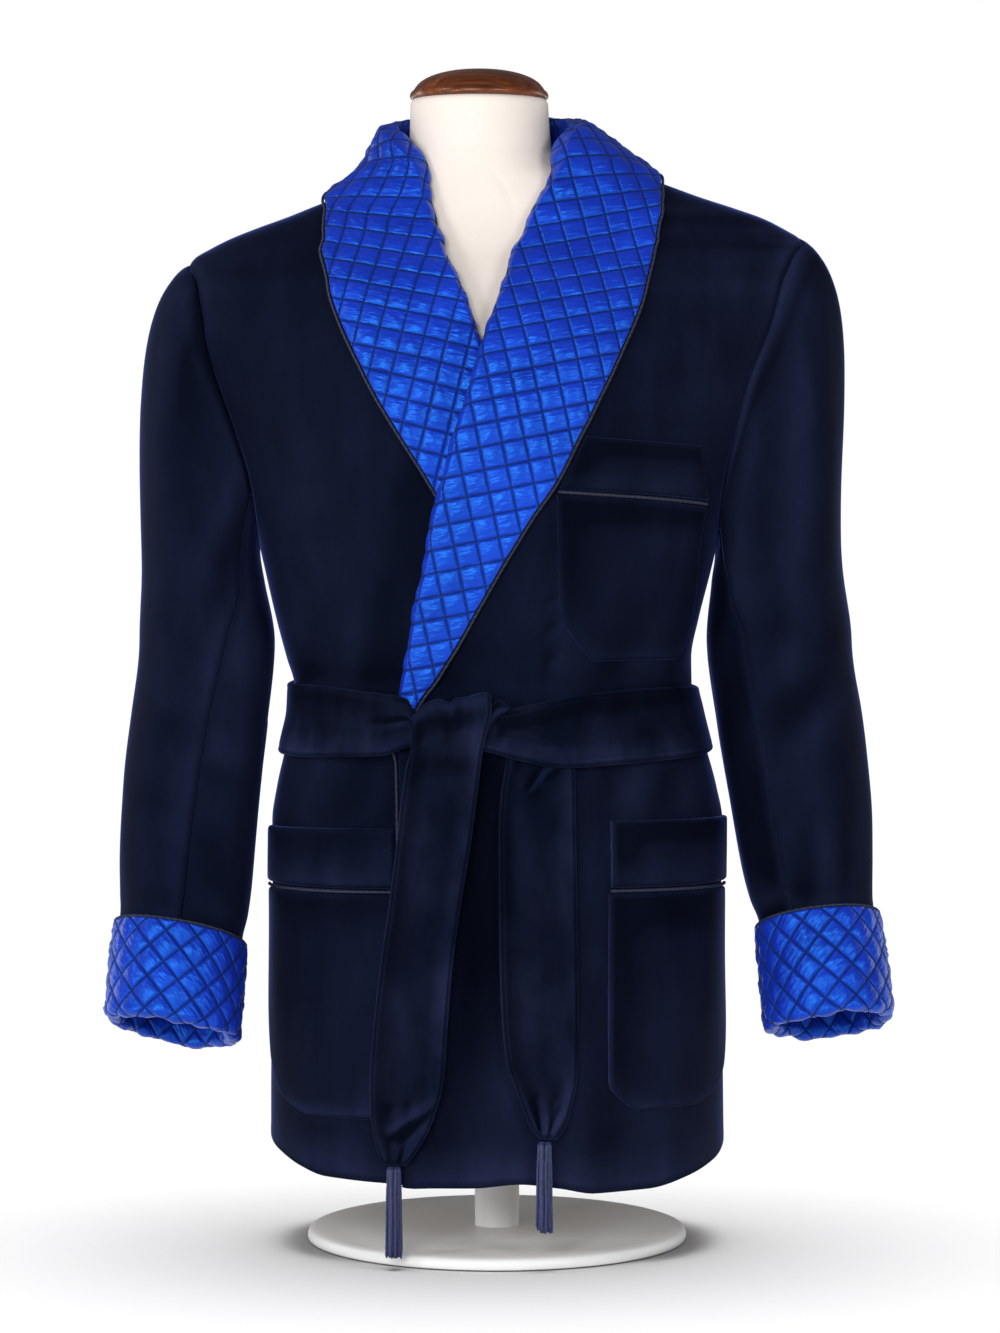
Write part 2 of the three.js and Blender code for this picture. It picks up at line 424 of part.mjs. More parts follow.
// ---------------------------------------------------------------- sleeves and cuffs
const ringTables = { right: SLEEVE_RIGHT, left: SLEEVE_LEFT };
const ringCols = Object.fromEntries(['right', 'left'].map((s) => [s, [1, 2, 3, 4, 5, 6].map((i) => {
  const up = [...ringTables[s]].reverse();
  return curve(up, 0, i);
})]));
function ringAt(side, z, phi, grow = 0) {
  const [x, y, w, d, so, sf] = ringCols[side].map((f) => f(z)), s = sides[side], n = 2.15;
  const c = Math.cos(rad(phi)), k = Math.sin(rad(phi)), m = Math.pow(Math.pow(Math.abs(c), n) + Math.pow(Math.abs(k), n), -1 / n);
  const o = (w + grow) * c * m, f = (d + grow) * k * m;
  return V(x + s * o, y - f, z + so * o + sf * f);
}
const headCols = [1, 2, 3].map((i) => curve(SLEEVE_HEAD, 0, i));
function sleeveStart(side, phi) {
  const s = sides[side], p = ((phi % 360) + 360) % 360;
  const [t, z] = armholeAt(side, p), [ta, za] = armholeAt(side, p + 1.5), [tb, zb] = armholeAt(side, p - 1.5);
  const A = bodyAt(t, z), n = bodyNormal(t, z), along = bodyAt(ta, za).sub(bodyAt(tb, zb)).normalize();
  const mid = bodyAt(...armholeMid(side)), into = n.clone().cross(along).normalize();
  if (into.dot(mid.sub(A)) < 0) into.negate();
  const e = V(s * headCols[0](p), headCols[1](p), headCols[2](p)).normalize();
  const turn = Math.atan2(e.dot(n), e.dot(into));
  A.addScaledVector(into, 0.8 + Math.max(0, -VELVET * Math.sin(turn))).addScaledVector(n, 0.45 * Math.max(0, Math.sin(turn)) + (Math.cos(turn) < 0 ? 0.6 : 0));
  return { A, e };
}
function armholeMid(side) { return [sides[side] * 90, side === 'right' ? 660 : 668]; }
// Station q: 0 to 1 from the armhole to the first ring, 1 to 2 on down to the cuff fold.
function sleeveAt(side, q, phi) {
  const fold = CUFFS[side].fold;
  if (q >= 1) return ringAt(side, lerp(SLEEVE_START, fold, q - 1), phi);
  const { A, e } = sleeveStart(side, phi), B = ringAt(side, SLEEVE_START, phi), down = ringAt(side, SLEEVE_START - 1, phi).sub(B);
  const len = A.distanceTo(B), p = ((phi % 360) + 360) % 360, lead = lerp(0.75, 0.45, Math.sin(rad(p / 2)));
  const T0 = e.multiplyScalar(len * lead), T1 = down.multiplyScalar(len * 0.95), q2 = q * q, q3 = q2 * q;
  return A.multiplyScalar(2 * q3 - 3 * q2 + 1).addScaledVector(T0, q3 - 2 * q2 + q).addScaledVector(B, -2 * q3 + 3 * q2).addScaledVector(T1, q3 - q2);
}
function sleeveNormal(side, q, phi) {
  const dq = 0.01, a = sleeveAt(side, Math.min(2, q + dq), phi).sub(sleeveAt(side, Math.max(0, q - dq), phi));
  const b = sleeveAt(side, q, phi + 1).sub(sleeveAt(side, q, phi - 1)), n = a.cross(b).normalize();
  const c = ringAt(side, q >= 1 ? lerp(SLEEVE_START, CUFFS[side].fold, q - 1) : SLEEVE_START, phi, 5).sub(ringAt(side, q >= 1 ? lerp(SLEEVE_START, CUFFS[side].fold, q - 1) : SLEEVE_START, phi, 0));
  if (n.dot(c) < 0) n.negate();
  return n;
}
const hindSeam = curve(SLEEVE_SEAMS, 0, 3);
const foreSeam = { right: curve(SLEEVE_SEAMS, 0, 1), left: curve(SLEEVE_SEAMS, 0, 2) };
const CAP_ROWS = [0, 0.05, 0.15, 0.35, 0.65];
function sleeve(side, part) {
  const { top: cuffTop, fold } = CUFFS[side], outer = [], inner = [];
  const tube = [520, 472, 415, 355, 300, cuffTop + 5, cuffTop - 6, fold + 6.8].map((z) => 1 + (SLEEVE_START - z) / (SLEEVE_START - fold));
  const f0 = foreSeam[side](0), h0 = hindSeam(0), half = ARM_PHI.filter((p) => p > 0 && p < 180).reverse();
  const all = part === 'top' ? [...half.map((p) => -p).reverse(), 0, ...half].filter((p) => p >= h0 - 360 && p <= f0)
    : Array.from({ length: Math.round((h0 - f0) / 11.25) + 1 }, (_, k) => f0 + 11.25 * k);
  for (const q of [...CAP_ROWS, ...tube]) {
    const f = foreSeam[side](q), h = hindSeam(q), gap = 0.16 / 50 * 180 / Math.PI, o = [], n = [];
    const [a, b] = part === 'top' ? [h - 360 + gap, f - gap] : [f + gap, h - gap], even = smooth(0, 0.35, q), last = all.length - 1;
    for (let j = 0; j <= last; j++) {
      const share = lerp((all[j] - all[0]) / (all[last] - all[0]), j / last, even);
      const phi = lerp(a, b, share), p = sleeveAt(side, q, phi), d = sleeveNormal(side, q, phi);
      o.push(p); n.push(p.clone().addScaledVector(d, -VELVET));
    }
    outer.push(o); inner.push(n);
  }
  return wall(outer, inner);
}
// Cuff: one strip turned over the sleeve's end; its section goes round the arm.
function cuff(side) {
  const { top, fold } = CUFFS[side], g = 1.5, s = SATIN - 0.4;
  const section = [
    [g, top], [g + s, top], [g + s + 0.3, (top + fold) / 2], [g + s, fold + 3], [(g + s) / 2 - 2, fold],
    [-VELVET - g - 2.8, fold + 3], [-VELVET - g - 2.6, fold + CUFF_LIP], [-VELVET - g, fold + CUFF_LIP],
    [-VELVET - g, fold + 5.6], [g, fold + 5.6],
  ];
  const n = 20;
  return skin(Array.from({ length: n }, (_, k) => section.map(([off, z]) => ringAt(side, z, 360 * k / n, off))), true);
}
function cuffCord(side) {
  const n = 20, z = CUFFS[side].top, r = CUFF_CORD_R;
  return skin(Array.from({ length: n }, (_, k) => Array.from({ length: 4 }, (_, j) => {
    const a = rad(90 * j + 45);
    return ringAt(side, z + r + SEAM + r * Math.sin(a), 360 * k / n, LIE + 2.2 + r * Math.cos(a));
  })), true);
}

// ---------------------------------------------------------------- collar
const bendAt = (z) => smooth(785, 803, z) * (1 - smooth(840, 852, z));
const collarLie = (stand, z) => COLLAR_LIE + NECK_LIFT * stand + SHOULDER_LIFT * Math.sin(Math.PI * stand) + BEND_LIFT * bendAt(z);
const NECK_X = -14, NECK_Y = 4.5; // middle of the neck, level
const COLLAR_ROWS = 23, COLLAR_LEAF = 4, BACK_X = 2;
const collarShare = (i) => 1 - Math.pow(1 - i / COLLAR_ROWS, 1.3); // rows lie closer round the neck
// Along the collar, 0 at its tip and 1 at centre back: seam (angle, height), edge, rise, stand.
function collarRows(side) {
  const chest = side === 'left' ? COLLAR_LEFT_CHEST : COLLAR_RIGHT_CHEST, neck = side === 'left' ? COLLAR_LEFT_NECK : COLLAR_RIGHT_NECK;
  const all = [...chest.map(([rx, rz, ex, ez]) => [angleOfX(rx, rz), rz, angleOfX(ex, ez), ez, 0, 0]), ...neck];
  const run = [0];
  for (let i = 1; i < all.length; i++) {
    const p = bodyAt(all[i][2], all[i][3]), q = bodyAt(all[i - 1][2], all[i - 1][3]), a = bodyAt(all[i][0], all[i][1]), b = bodyAt(all[i - 1][0], all[i - 1][1]);
    run.push(run[i - 1] + (p.distanceTo(q) + a.distanceTo(b)) / 2);
  }
  const len = run[run.length - 1], cols = [0, 1, 2, 3, 4, 5].map((i) => curve(all.map((r, k) => [run[k] / len, r[i]]), 0, 1));
  return (w) => cols.map((f) => f(w));
}
// Point of the collar's leaf: k = 0 at the roll, 1 at the outer edge; off above the body.
function leafAt(side, rowFn, w, k, off) {
  const [st, sz, et, ez, rise, stand] = rowFn(w), fold = side === 'left' ? 'over' : 'under', t = lerp(st, et, k), z = lerp(sz, ez, k);
  const p = onBody(t, z, off, fold), up = V(0, 0, 1), n = bodyNormal(st, sz);
  const dir = up.addScaledVector(n, -0.1).normalize();
  return p.addScaledVector(dir, rise * Math.pow(1 - k, 1.2)).addScaledVector(bodyNormal(t, z), 5 * stand * Math.sin(Math.PI * Math.pow(k, 0.8)));
}
function collar(side) {
  const row = collarRows(side), fold = side === 'left' ? 'over' : 'under', rings = [];
  for (let i = 0; i <= COLLAR_ROWS; i++) {
    const w = collarShare(i), [st, sz, et, ez, rise, stand] = row(w);
    const base = onBody(st, sz, 0, fold), level = V(base.x - NECK_X, base.y - NECK_Y, 0).normalize();
    const n = bodyNormal(st, sz).lerp(level, Math.min(1, stand * 1.5)).normalize(), near = onBody(lerp(st, et, 0.08), lerp(sz, ez, 0.08), 0, fold);
    const tangent = base.clone().sub(near).normalize(), up = V(0, 0, 1).addScaledVector(n, -0.1).normalize();
    const beyond = tangent.lerp(up, Math.min(1, stand * 1.4)).normalize();
    const mark = (off, far) => base.clone().addScaledVector(n, off).addScaledVector(beyond, far);
    const drop = 5 * stand, lie = collarLie(stand, sz), edge = 0.9 + BEND_EDGE * bendAt(sz), ring = [];
    for (let j = COLLAR_LEAF; j >= 0; j--) ring.push(leafAt(side, row, w, j / COLLAR_LEAF, lie + SATIN));
    const under = Math.min(1, stand / 0.4), down = Math.max(0, (stand - 0.4) / 0.6);
    ring.push(mark(lerp(0, -1.2, stand), rise + 4.0), mark(-VELVET - lie * under - 1.6 * under, rise + lerp(3.4, 2.4, under)));
    ring.push(mark(-VELVET - (lie + 2.6) * under, lerp(edge + 2.4, -drop, down)));
    ring.push(mark(-VELVET - lie * under, lerp(edge, -drop, down)));
    ring.push(mark(lerp(-1.2, -VELVET - lie, under), edge + Math.max(0, rise - 2)));
    ring.push(leafAt(side, row, w, 0, lie).addScaledVector(beyond, lerp(0.8, -1.0, under)));
    for (let j = 1; j <= COLLAR_LEAF; j++) ring.push(leafAt(side, row, w, j / COLLAR_LEAF, lie));
    rings.push(ring);
  }
  // The halves end just short of centre back.
  rings[rings.length - 1].forEach((p) => { p.x = BACK_X + sides[side] * SEAM / 2; });
  return skin(rings);
}
// The cord lies along the leaf's outer edge, ring by ring; on the left it crosses under the sash
// to the front edge and runs on down to the hem.
function collarCord(side) {
  const row = collarRows(side), fold = side === 'left' ? 'over' : 'under', rings = [], r = CORD_R;
  const ring = (p, out, away) => Array.from({ length: 5 }, (_, j) => p.clone().addScaledVector(away, r * Math.cos(rad(72 * j + 36))).addScaledVector(out, r * Math.sin(rad(72 * j + 36))));
  for (let i = COLLAR_ROWS; i >= 0; i--) {
    const w = collarShare(i), [st, sz, et, ez, , stand] = row(w), a = onBody(et, ez, 0, fold), b = onBody(lerp(st, et, 0.9), lerp(sz, ez, 0.9), 0, fold);
    const out = bodyNormal(et, ez), next = row(Math.max(0, w - 0.01)), prev = row(Math.min(1, w + 0.01));
    const along = onBody(next[2], next[3], 0, fold).sub(onBody(prev[2], prev[3], 0, fold)).normalize(), away = out.clone().cross(along).normalize();
    if (away.dot(a.clone().sub(b)) < 0) away.negate();
    const p = a.addScaledVector(out, collarLie(stand, sz) + r + 0.1).addScaledVector(away, r + 0.7), q = ring(p, out, away);
    if (i === COLLAR_ROWS) q.forEach((m) => { m.x = BACK_X + sides[side] * SEAM / 2; });
    rings.push(q);
  }
  if (side === 'left') {
    const path = [[411.5, -67.2, 3.4], [405.5, -73.2, 3.3], [400, -77.4, 2.2], [393, -77.8, -0.6], [384, 0, -1.1], [350, 0, -1.1], [300, 0, -1.1], [240, 0, -1.1], [180, 0, -1.1], [120, 0, -1.1], [71, 0, -1.1]];
    const at = path.map(([z, x, off]) => { const px = x || rollLeftX(z) - r - 1.1, t = angleOfX(px, z); return { p: onBody(t, z, off, 'over'), n: bodyNormal(t, z) }; });
    at.forEach(({ p, n }, i) => {
      const along = at[Math.min(at.length - 1, i + 1)].p.clone().sub(i ? at[i - 1].p : rings[rings.length - 1][0]).normalize(), out = n.addScaledVector(along, -n.dot(along)).normalize();
      rings.push(ring(p, out, out.clone().cross(along).normalize()));
    });
  }
  return skin(rings);
}

// ---------------------------------------------------------------- pockets
function patch(table, rows, cols, off, thick, fold) {
  const f = [0, 1, 2, 3].map((i) => (table.length > 2 ? byRow(table, i) : (k) => lerp(table[0][i], table[1][i], k))), outer = [], inner = [];
  for (let i = 0; i <= rows; i++) {
    const k = (table.length - 1) * i / rows, [za, xa, zb, xb] = f.map((g) => g(k)), ta = angleOfX(xa, za), tb = angleOfX(xb, zb), o = [], n = [];
    for (let j = 0; j <= cols; j++) {
      const t = lerp(ta, tb, j / cols), z = lerp(za, zb, j / cols);
      o.push(onBody(t, z, off + thick, fold)); n.push(onBody(t, z, off, fold));
    }
    outer.push(o); inner.push(n);
  }
  return wall(outer, inner);
}
function pocketCord(band, lower, fold, lie) {
  const a = band[1], b = lower[0], pts = [];
  for (let j = 0; j <= 5; j++) {
    const x0 = lerp(a[1], a[3], j / 5), z0 = lerp(a[0], a[2], j / 5), z1 = lerp(b[0], b[2], j / 5), z = (z0 + z1) / 2;
    const t = lerp(angleOfX((a[1] + b[1]) / 2, a[0]), angleOfX((a[3] + b[3]) / 2, a[2]), j / 5);
    pts.push(onBody(t, z, lie + CORD_R + 0.1, fold));
  }
  return cord(pts, CORD_R);
}

// ---------------------------------------------------------------- sash
function sashBand() {
  const [top, bottom, off] = [1, 2, 3].map((i) => curve(BAND, 0, i)), outer = [], inner = [], cols = 34, rows = 2;
  for (let i = 0; i <= cols; i++) {
    const t = wrap(wrap(BAND_START - BAND_SWEEP * i / cols)), o = [], n = [];
    for (let j = 0; j <= rows; j++) {
      const z = lerp(bottom(t), top(t), j / rows);
      n.push(onBody(t, z, off(t))); o.push(onBody(t, z, off(t) + SASH));
    }
    outer.push(o); inner.push(n);
  }
  return wall(outer, inner);
}
function knot() {
  const outer = [], inner = [], f = [0, 1, 2].map((i) => byRow(KNOT, i)), n = 8;
  for (let i = 0; i <= n; i++) {
    const [x, top, bottom] = f.map((g) => g((KNOT.length - 1) * i / n)), o = [], m = [];
    for (let j = 0; j <= 3; j++) {
      const z = lerp(bottom, top, j / 3);
      m.push(onBody(angleOfX(x, z), z, KNOT_OFF)); o.push(onBody(angleOfX(x, z), z, KNOT_OFF + KNOT_T));
    }
    outer.push(o); inner.push(m);
  }
  return wall(outer, inner);
}
function fall(table, lift) {
  const f = [0, 1, 2, 3].map((i) => byRow(table, i)), liftAt = lift ? curve(lift, 0, 1) : () => 0, outer = [], inner = [], cols = 4;
  const at = (k, u) => {
    const [z, xa, xb, off] = f.map((g) => g(k)), up = lift ? liftAt(u) * (k <= 4 ? 1 : smooth(372, 424.7, z)) : 0, zz = z + up;
    return onBody(angleOfX(lerp(xa, xb, u), zz), zz, off);
  };
  for (let i = 0; i < table.length; i++) {
    const o = [], n = [];
    for (let j = 0; j <= cols; j++) {
      const u = j / cols, p = at(i, u), a = at(Math.min(table.length - 1, i + 0.25), u).sub(at(Math.max(0, i - 0.25), u));
      const b = at(i, Math.min(1, u + 0.1)).sub(at(i, Math.max(0, u - 0.1))), d = a.cross(b).normalize();
      const half = SASH / 2 - 0.1;
      o.push(p.clone().addScaledVector(d, half)); n.push(p.clone().addScaledVector(d, -half));
    }
    outer.push(o); inner.push(n);
  }
  return wall(outer, inner);
}
function tassel(where, table) {
  const last = table[table.length - 1], y = onBody(angleOfX(where.x, last[0]), last[0], last[3]).y;
  const g = new THREE.LatheGeometry(TASSEL_PROFILE.map(([r, k]) => new THREE.Vector2(r, -k * TASSEL_LENGTH)).reverse(), 8);
  g.rotateX(Math.PI / 2);
  return { g, position: V(where.x, y, where.z) };
}

// ---------------------------------------------------------------- form and stand
const formAt = sections(FORM);
function formTorso() {
  const n = 28, zs = [96, 140, 200, 270, 330, 380, 427, 470, 520, 575, 620, 665, 700, 730, 752, 768, 782, 796, 810, 822, 834, 846, 862, NECK_TOP];
  return skin(zs.map((z) => Array.from({ length: n }, (_, k) => formAt(360 * k / n, z))));
}

// ---------------------------------------------------------------- the object
const material = (color, roughness, metalness = 0) => new THREE.MeshStandardMaterial({ color, roughness, metalness });
const velvet = material(0x0b1230, 0.9), satin = material(0x1238c4, 0.35), trim = material(0x0e1638, 0.6), strand = material(0x141d55, 0.7);
const cream = material(0xf2ece0, 0.85), wood = material(0x4a2412, 0.35), paint = material(0xe9e7e2, 0.5);
const jacket = new THREE.Group();
function add(name, geometry, mat, position) {
  const mesh = new THREE.Mesh(geometry, mat);
  mesh.name = name;
  if (position) mesh.position.copy(position);
  jacket.add(mesh);
}
add('front_left', front('left'), velvet);
add('front_right', front('right'), velvet);
add('back', backPanel(), velvet);
for (const side of ['left', 'right']) {
  add(`sleeve_top_${side}`, sleeve(side, 'top'), velvet);
  add(`sleeve_under_${side}`, sleeve(side, 'under'), velvet);
  add(`cuff_${side}`, cuff(side), satin);
  add(`cuff_cord_${side}`, cuffCord(side), trim);
  add(`collar_${side}`, collar(side), satin);
  add(`collar_cord_${side}`, collarCord(side), trim);
}
const pockets = [
  ['breast_pocket', BREAST_PATCH, BREAST_BAND, 'over', LIE], ['hip_pocket_left', HIP_LEFT_PATCH, HIP_LEFT_BAND, 'over', HIP_LIE],
  ['hip_pocket_right', HIP_RIGHT_PATCH, HIP_RIGHT_BAND, 'under', HIP_LIE],
];
for (const [name, lower, band, fold, lie] of pockets) {
  add(name, patch(lower, 6, 6, lie, PATCH, fold), velvet);
  add(`${name}_band`, patch(band, 2, 6, lie, PATCH_BAND, fold), velvet);
  add(`${name}_cord`, pocketCord(band, lower, fold, lie), trim);
}
add('belt_band', sashBand(), velvet);
add('belt_knot', knot(), velvet);
add('belt_end_front', fall(FALL_FRONT, FALL_TOP), velvet);
add('belt_end_side', fall(FALL_SIDE), velvet);
for (const [name, table] of [['front', FALL_FRONT], ['side', FALL_SIDE]]) {
  const { g, position } = tassel(TASSELS[name], table);
  add(`tassel_${name}`, g, strand, position);
}
add('form_torso', formTorso(), cream);
{
  const g = new THREE.LatheGeometry(CAP_PROFILE.map(([r, z]) => new THREE.Vector2(r, z)), 32);
  g.rotateX(Math.PI / 2);
  add('neck_cap', g, wood, V(NECK_X, NECK_Y, NECK_TOP));
  const post = new THREE.CylinderGeometry(POST_R, POST_R, FORM_BOTTOM - BASE_T, 24);
  post.rotateX(Math.PI / 2);
  add('stand_post', post, paint, V(0, 0, (FORM_BOTTOM + BASE_T) / 2));
  const plate = new THREE.CylinderGeometry(BASE_R - 3, BASE_R, BASE_T, 48);
  plate.rotateX(Math.PI / 2);
  add('base_plate', plate, paint, V(0, 0, BASE_T / 2));
}
export default jacket;
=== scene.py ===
"""Looks of the smoking jacket on its dress form: velvet, quilted satin, twisted cord, tassels.

Millimetres inside the functions, metres in the meshes. The row frame: +Z up, front towards -Y,
the wearer's left towards +X. The forms are the CAD's own sections, sampled finely, with creases,
quilting, stitches and strands added.
"""
import json
import math

import bpy
import numpy as np
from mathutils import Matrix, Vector

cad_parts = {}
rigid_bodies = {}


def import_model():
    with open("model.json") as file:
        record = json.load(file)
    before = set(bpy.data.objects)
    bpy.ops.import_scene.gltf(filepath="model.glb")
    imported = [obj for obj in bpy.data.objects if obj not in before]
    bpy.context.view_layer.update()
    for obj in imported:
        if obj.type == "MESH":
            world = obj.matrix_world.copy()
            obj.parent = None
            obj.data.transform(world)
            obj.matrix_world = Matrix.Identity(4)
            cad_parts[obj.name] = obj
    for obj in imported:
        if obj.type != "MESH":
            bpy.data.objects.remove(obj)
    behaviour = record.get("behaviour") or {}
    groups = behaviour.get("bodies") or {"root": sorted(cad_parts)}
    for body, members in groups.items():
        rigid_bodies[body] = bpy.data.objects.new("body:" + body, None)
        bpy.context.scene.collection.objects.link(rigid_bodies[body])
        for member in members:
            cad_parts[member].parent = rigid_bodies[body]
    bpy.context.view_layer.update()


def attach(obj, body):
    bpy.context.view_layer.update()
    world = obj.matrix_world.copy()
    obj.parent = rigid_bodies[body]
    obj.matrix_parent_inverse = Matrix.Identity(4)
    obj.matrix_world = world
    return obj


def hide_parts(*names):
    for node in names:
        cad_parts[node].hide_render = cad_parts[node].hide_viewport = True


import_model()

# ------------------------------------------------------------------ sizes (mm), as in the CAD
SEAM, LIE, NECK_LIFT, SHOULDER_LIFT, BEND_LIFT, BEND_EDGE = 0.3, 1.0, 1.3, 2.2, 0.8, 1.6
HIP_LIE, COLLAR_LIE, VELVET, SATIN, PATCH, PATCH_BAND, SASH = 1.4, 2.0, 2.4, 3.4, 2.0, 3.0, 4.0
CORD_R, CUFF_CORD_R, RAISE, SINK, UNDERLAP_X, SLEEVE_START, CUFF_LIP = 1.3, 1.2, 5.0, 5.0, 52, 520, 28
FORM_BOTTOM, NECK_TOP, BASE_R, BASE_T, POST_R = 96, 899, 150, 10, 18
NECK_X, NECK_Y, BACK_X, SEAM_T = -14, 4.5, 2, 0.05
SIDE = {"right": -1, "left": 1}
PITCH = 17.3        # one square of the quilting
PUFF = 2.1          # how far a square stands up
STITCH = 1.65       # a stitch, and the way to the next
STITCH_STEP = 2.2

BODY = [
    # z, right, left, front, back, square
    (40, 180, 181, 141, 137, 2.25), (62, 179, 180, 140, 136, 2.25), (150, 178.5, 178.5, 138, 138, 2.25),
    (250, 177, 177, 134, 134, 2.25), (332, 177.5, 178, 130, 122, 2.25), (360, 173.5, 173, 128, 114, 2.3),
    (395, 165.5, 163.5, 125, 104, 2.3), (420, 160.5, 157.5, 123.5, 99, 2.3), (440, 160, 153.5, 123.5, 97.5, 2.3),
    (460, 165.5, 153.5, 125.5, 99, 2.3), (490, 173.5, 159, 129.5, 104, 2.3), (540, 185, 171, 135, 112, 2.3),
    (575, 193, 178, 138, 116, 2.3), (610, 203, 187, 139, 119, 2.3), (645, 217, 198, 137, 121, 2.3),
    (680, 232, 210, 131, 120, 2.3), (718, 244, 229, 118, 115, 2.28), (741, 246, 238, 108, 108, 2.25),
    (758, 245, 243, 97, 98, 2.2), (766, 243, 245, 91, 93, 2.2), (774, 238, 246, 85, 89, 2.15),
    (782, 225, 245, 80, 86, 2.1), (790, 209, 238, 75, 83, 2.1), (798, 189, 225, 71, 81, 2.05),
    (806, 167, 209, 68, 79, 2.05), (814, 147, 186, 65, 77, 2.0), (822, 127, 161, 63, 75.5, 2.0),
    (830, 110, 139, 61, 74, 2.0), (838, 97, 117, 59, 73, 2.0), (846, 91, 94, 58, 72, 2.0),
    (854, 88, 75, 57, 70.5, 2.0), (862, 85, 63, 56, 69, 2.0), (880, 84, 58, 55, 68, 2.0), (900, 84, 57, 55, 68, 2.0),
]
HEM = [
    (-180, 72), (-120, 78), (-90, 84), (-68, 77.5),
    (-55, 69.6), (-46, 64.8), (-38, 64.2), (-28, 63),
    (-24, 62.3), (-21, 60.8), (-15.6, 61.5), (-5.6, 62),
    (5.4, 65), (15, 61.4), (23.4, 56.8), (38, 57),
    (52, 63), (68, 71), (90, 80), (120, 76),
    (180, 72),
]
EDGE_LEFT = [
    (40, -71), (120, -71), (200, -71.5), (300, -72),
    (347, -72.5), (400, -73.5), (418, -72.5),
]
EDGE_RIGHT = [(40, UNDERLAP_X), (418, 51)]
COLLAR_CHEST = {
    # rollX, rollZ, edgeX, edgeZ
    "left": [(-72.5, 418, -65, 418), (-69.8, 437, -53.5, 437), (-63.6, 470, -33.2, 470), (-57.7, 507, -12.7, 507),
             (-51.2, 535, 3.2, 535), (-45.9, 570, 24.3, 570), (-37.6, 599, 43.9, 599), (-29.3, 632, 60.6, 632),
             (-21, 657, 73.5, 657), (-13, 683, 86.6, 683), (-6.5, 706, 97.4, 706), (3.9, 736, 110.1, 737),
             (11.5, 760, 116.4, 761), (21, 784, 122, 785), (29.5, 804, 125.5, 805)],
    "right": [(51, 418, 45, 418), (49.8, 437, 33, 437), (43.6, 470, 13, 470), (37.7, 507, -5, 507),
              (31.2, 535, -19, 535), (25.9, 570, -35, 570), (17.6, 599, -52, 600), (9.3, 632, -71.7, 632),
              (1, 657, -87, 657), (-7.5, 683, -101, 683), (-15.8, 706, -112.5, 706), (-26.5, 737, -125, 737),
              (-36.5, 761, -130.5, 762), (-44.5, 784, -131.5, 786), (-52, 805, -131, 808)],
}
COLLAR_NECK = {
    # seamT, seamZ, edgeT, edgeZ, rise, stand
    "left": [(12, 826, 49, 822, 2, 0.12), (31, 844, 63, 830, 8, 0.4), (55, 854, 78, 834.5, 14, 0.75), (90, 859, 92, 836, 19, 1),
             (120, 859, 126, 835, 24, 1), (142, 858, 147, 831, 27, 1), (158, 858, 167, 828, 29, 1), (172, 858, 186, 826, 30, 1)],
    "right": [(-34, 827, -66, 814, 2, 0.12), (-50, 845, -79, 819.5, 9, 0.4), (-68, 853, -90, 822, 15, 0.75), (-95, 856, -106, 825.5, 21, 1),
              (-122, 857, -127, 828.5, 25, 1), (-145, 858, -147, 829, 27, 1), (-168, 858, -162, 827.5, 29, 1), (-188, 858, -174, 826, 30, 1)],
}
ARMHOLE = [
    # phi, y, zRight, zLeft
    (0, 2, 771, 793), (30, -32, 757, 776), (60, -52, 718, 734), (90, -56, 667, 678), (120, -52, 614, 620),
    (150, -36, 567, 569), (180, -4, 546, 546), (210, 34, 566, 566), (240, 52, 612, 614), (270, 57, 667, 676),
    (300, 54, 722, 736), (330, 36, 760, 778), (360, 2, 771, 793),
]
SLEEVE_HEAD = [
    # phi, out, y, z
    (0, 0.88, 0, -0.47), (45, 0.82, -0.36, -0.44), (90, 0.62, -0.25, -0.74), (135, 0.36, -0.28, -0.89),
    (180, 0.16, 0, -0.99), (225, 0.36, 0.28, -0.89), (270, 0.62, 0.3, -0.72), (315, 0.82, 0.38, -0.43), (360, 0.88, 0, -0.47),
]
SLEEVE = {
    # z, x, y, halfWidth, halfDepth, slopeOut, slopeFront
    "right": [(520, -231.7, 0, 48.2, 66, 0, 0), (474, -228.5, -5, 53.2, 62.5, 0.02, 0.04), (411, -234.3, -14, 53.3, 59, 0.06, 0.12),
              (348, -240, -26, 53, 55, 0.1, 0.2), (300, -243, -38, 52, 52, 0.14, 0.28), (270, -244.3, -46.5, 49.8, 49.5, 0.16, 0.32),
              (252, -246, -51.5, 47.5, 47.5, 0.17, 0.33), (245, -246.5, -53.5, 47.5, 47.5, 0.17, 0.33),
              (175.5, -251.5, -75, 47.5, 47, 0.17, 0.33), (150, -253.5, -83, 47.5, 47, 0.17, 0.33)],
    "left": [(520, 221.8, 0, 52.2, 66, 0, 0), (474, 222.5, -5, 57, 62.5, 0.02, 0.04), (411, 230.1, -14, 56.8, 59, 0.04, 0.12),
             (348, 237.9, -26, 54.3, 55, 0.06, 0.2), (300, 242.6, -38, 50.4, 51, 0.08, 0.28), (278, 245.4, -44.5, 47.3, 48.5, 0.09, 0.31),
             (262, 249, -48.5, 44.5, 47, 0.1, 0.33), (255, 250, -50.5, 44.5, 47, 0.1, 0.33),
             (180, 257, -74, 45.5, 47, 0.1, 0.33), (150, 259, -83, 45.5, 47, 0.1, 0.33)],
}
SLEEVE_SEAMS = [(0, 135, 157.5, 225), (1, 130, 140, 225), (1.13, 111, 122, 227), (1.5, 99, 119, 230), (2, 92, 119, 233)]
CUFF_TOP, CUFF_FOLD = {"right": 245, "left": 255}, {"right": 175.5, "left": 180}
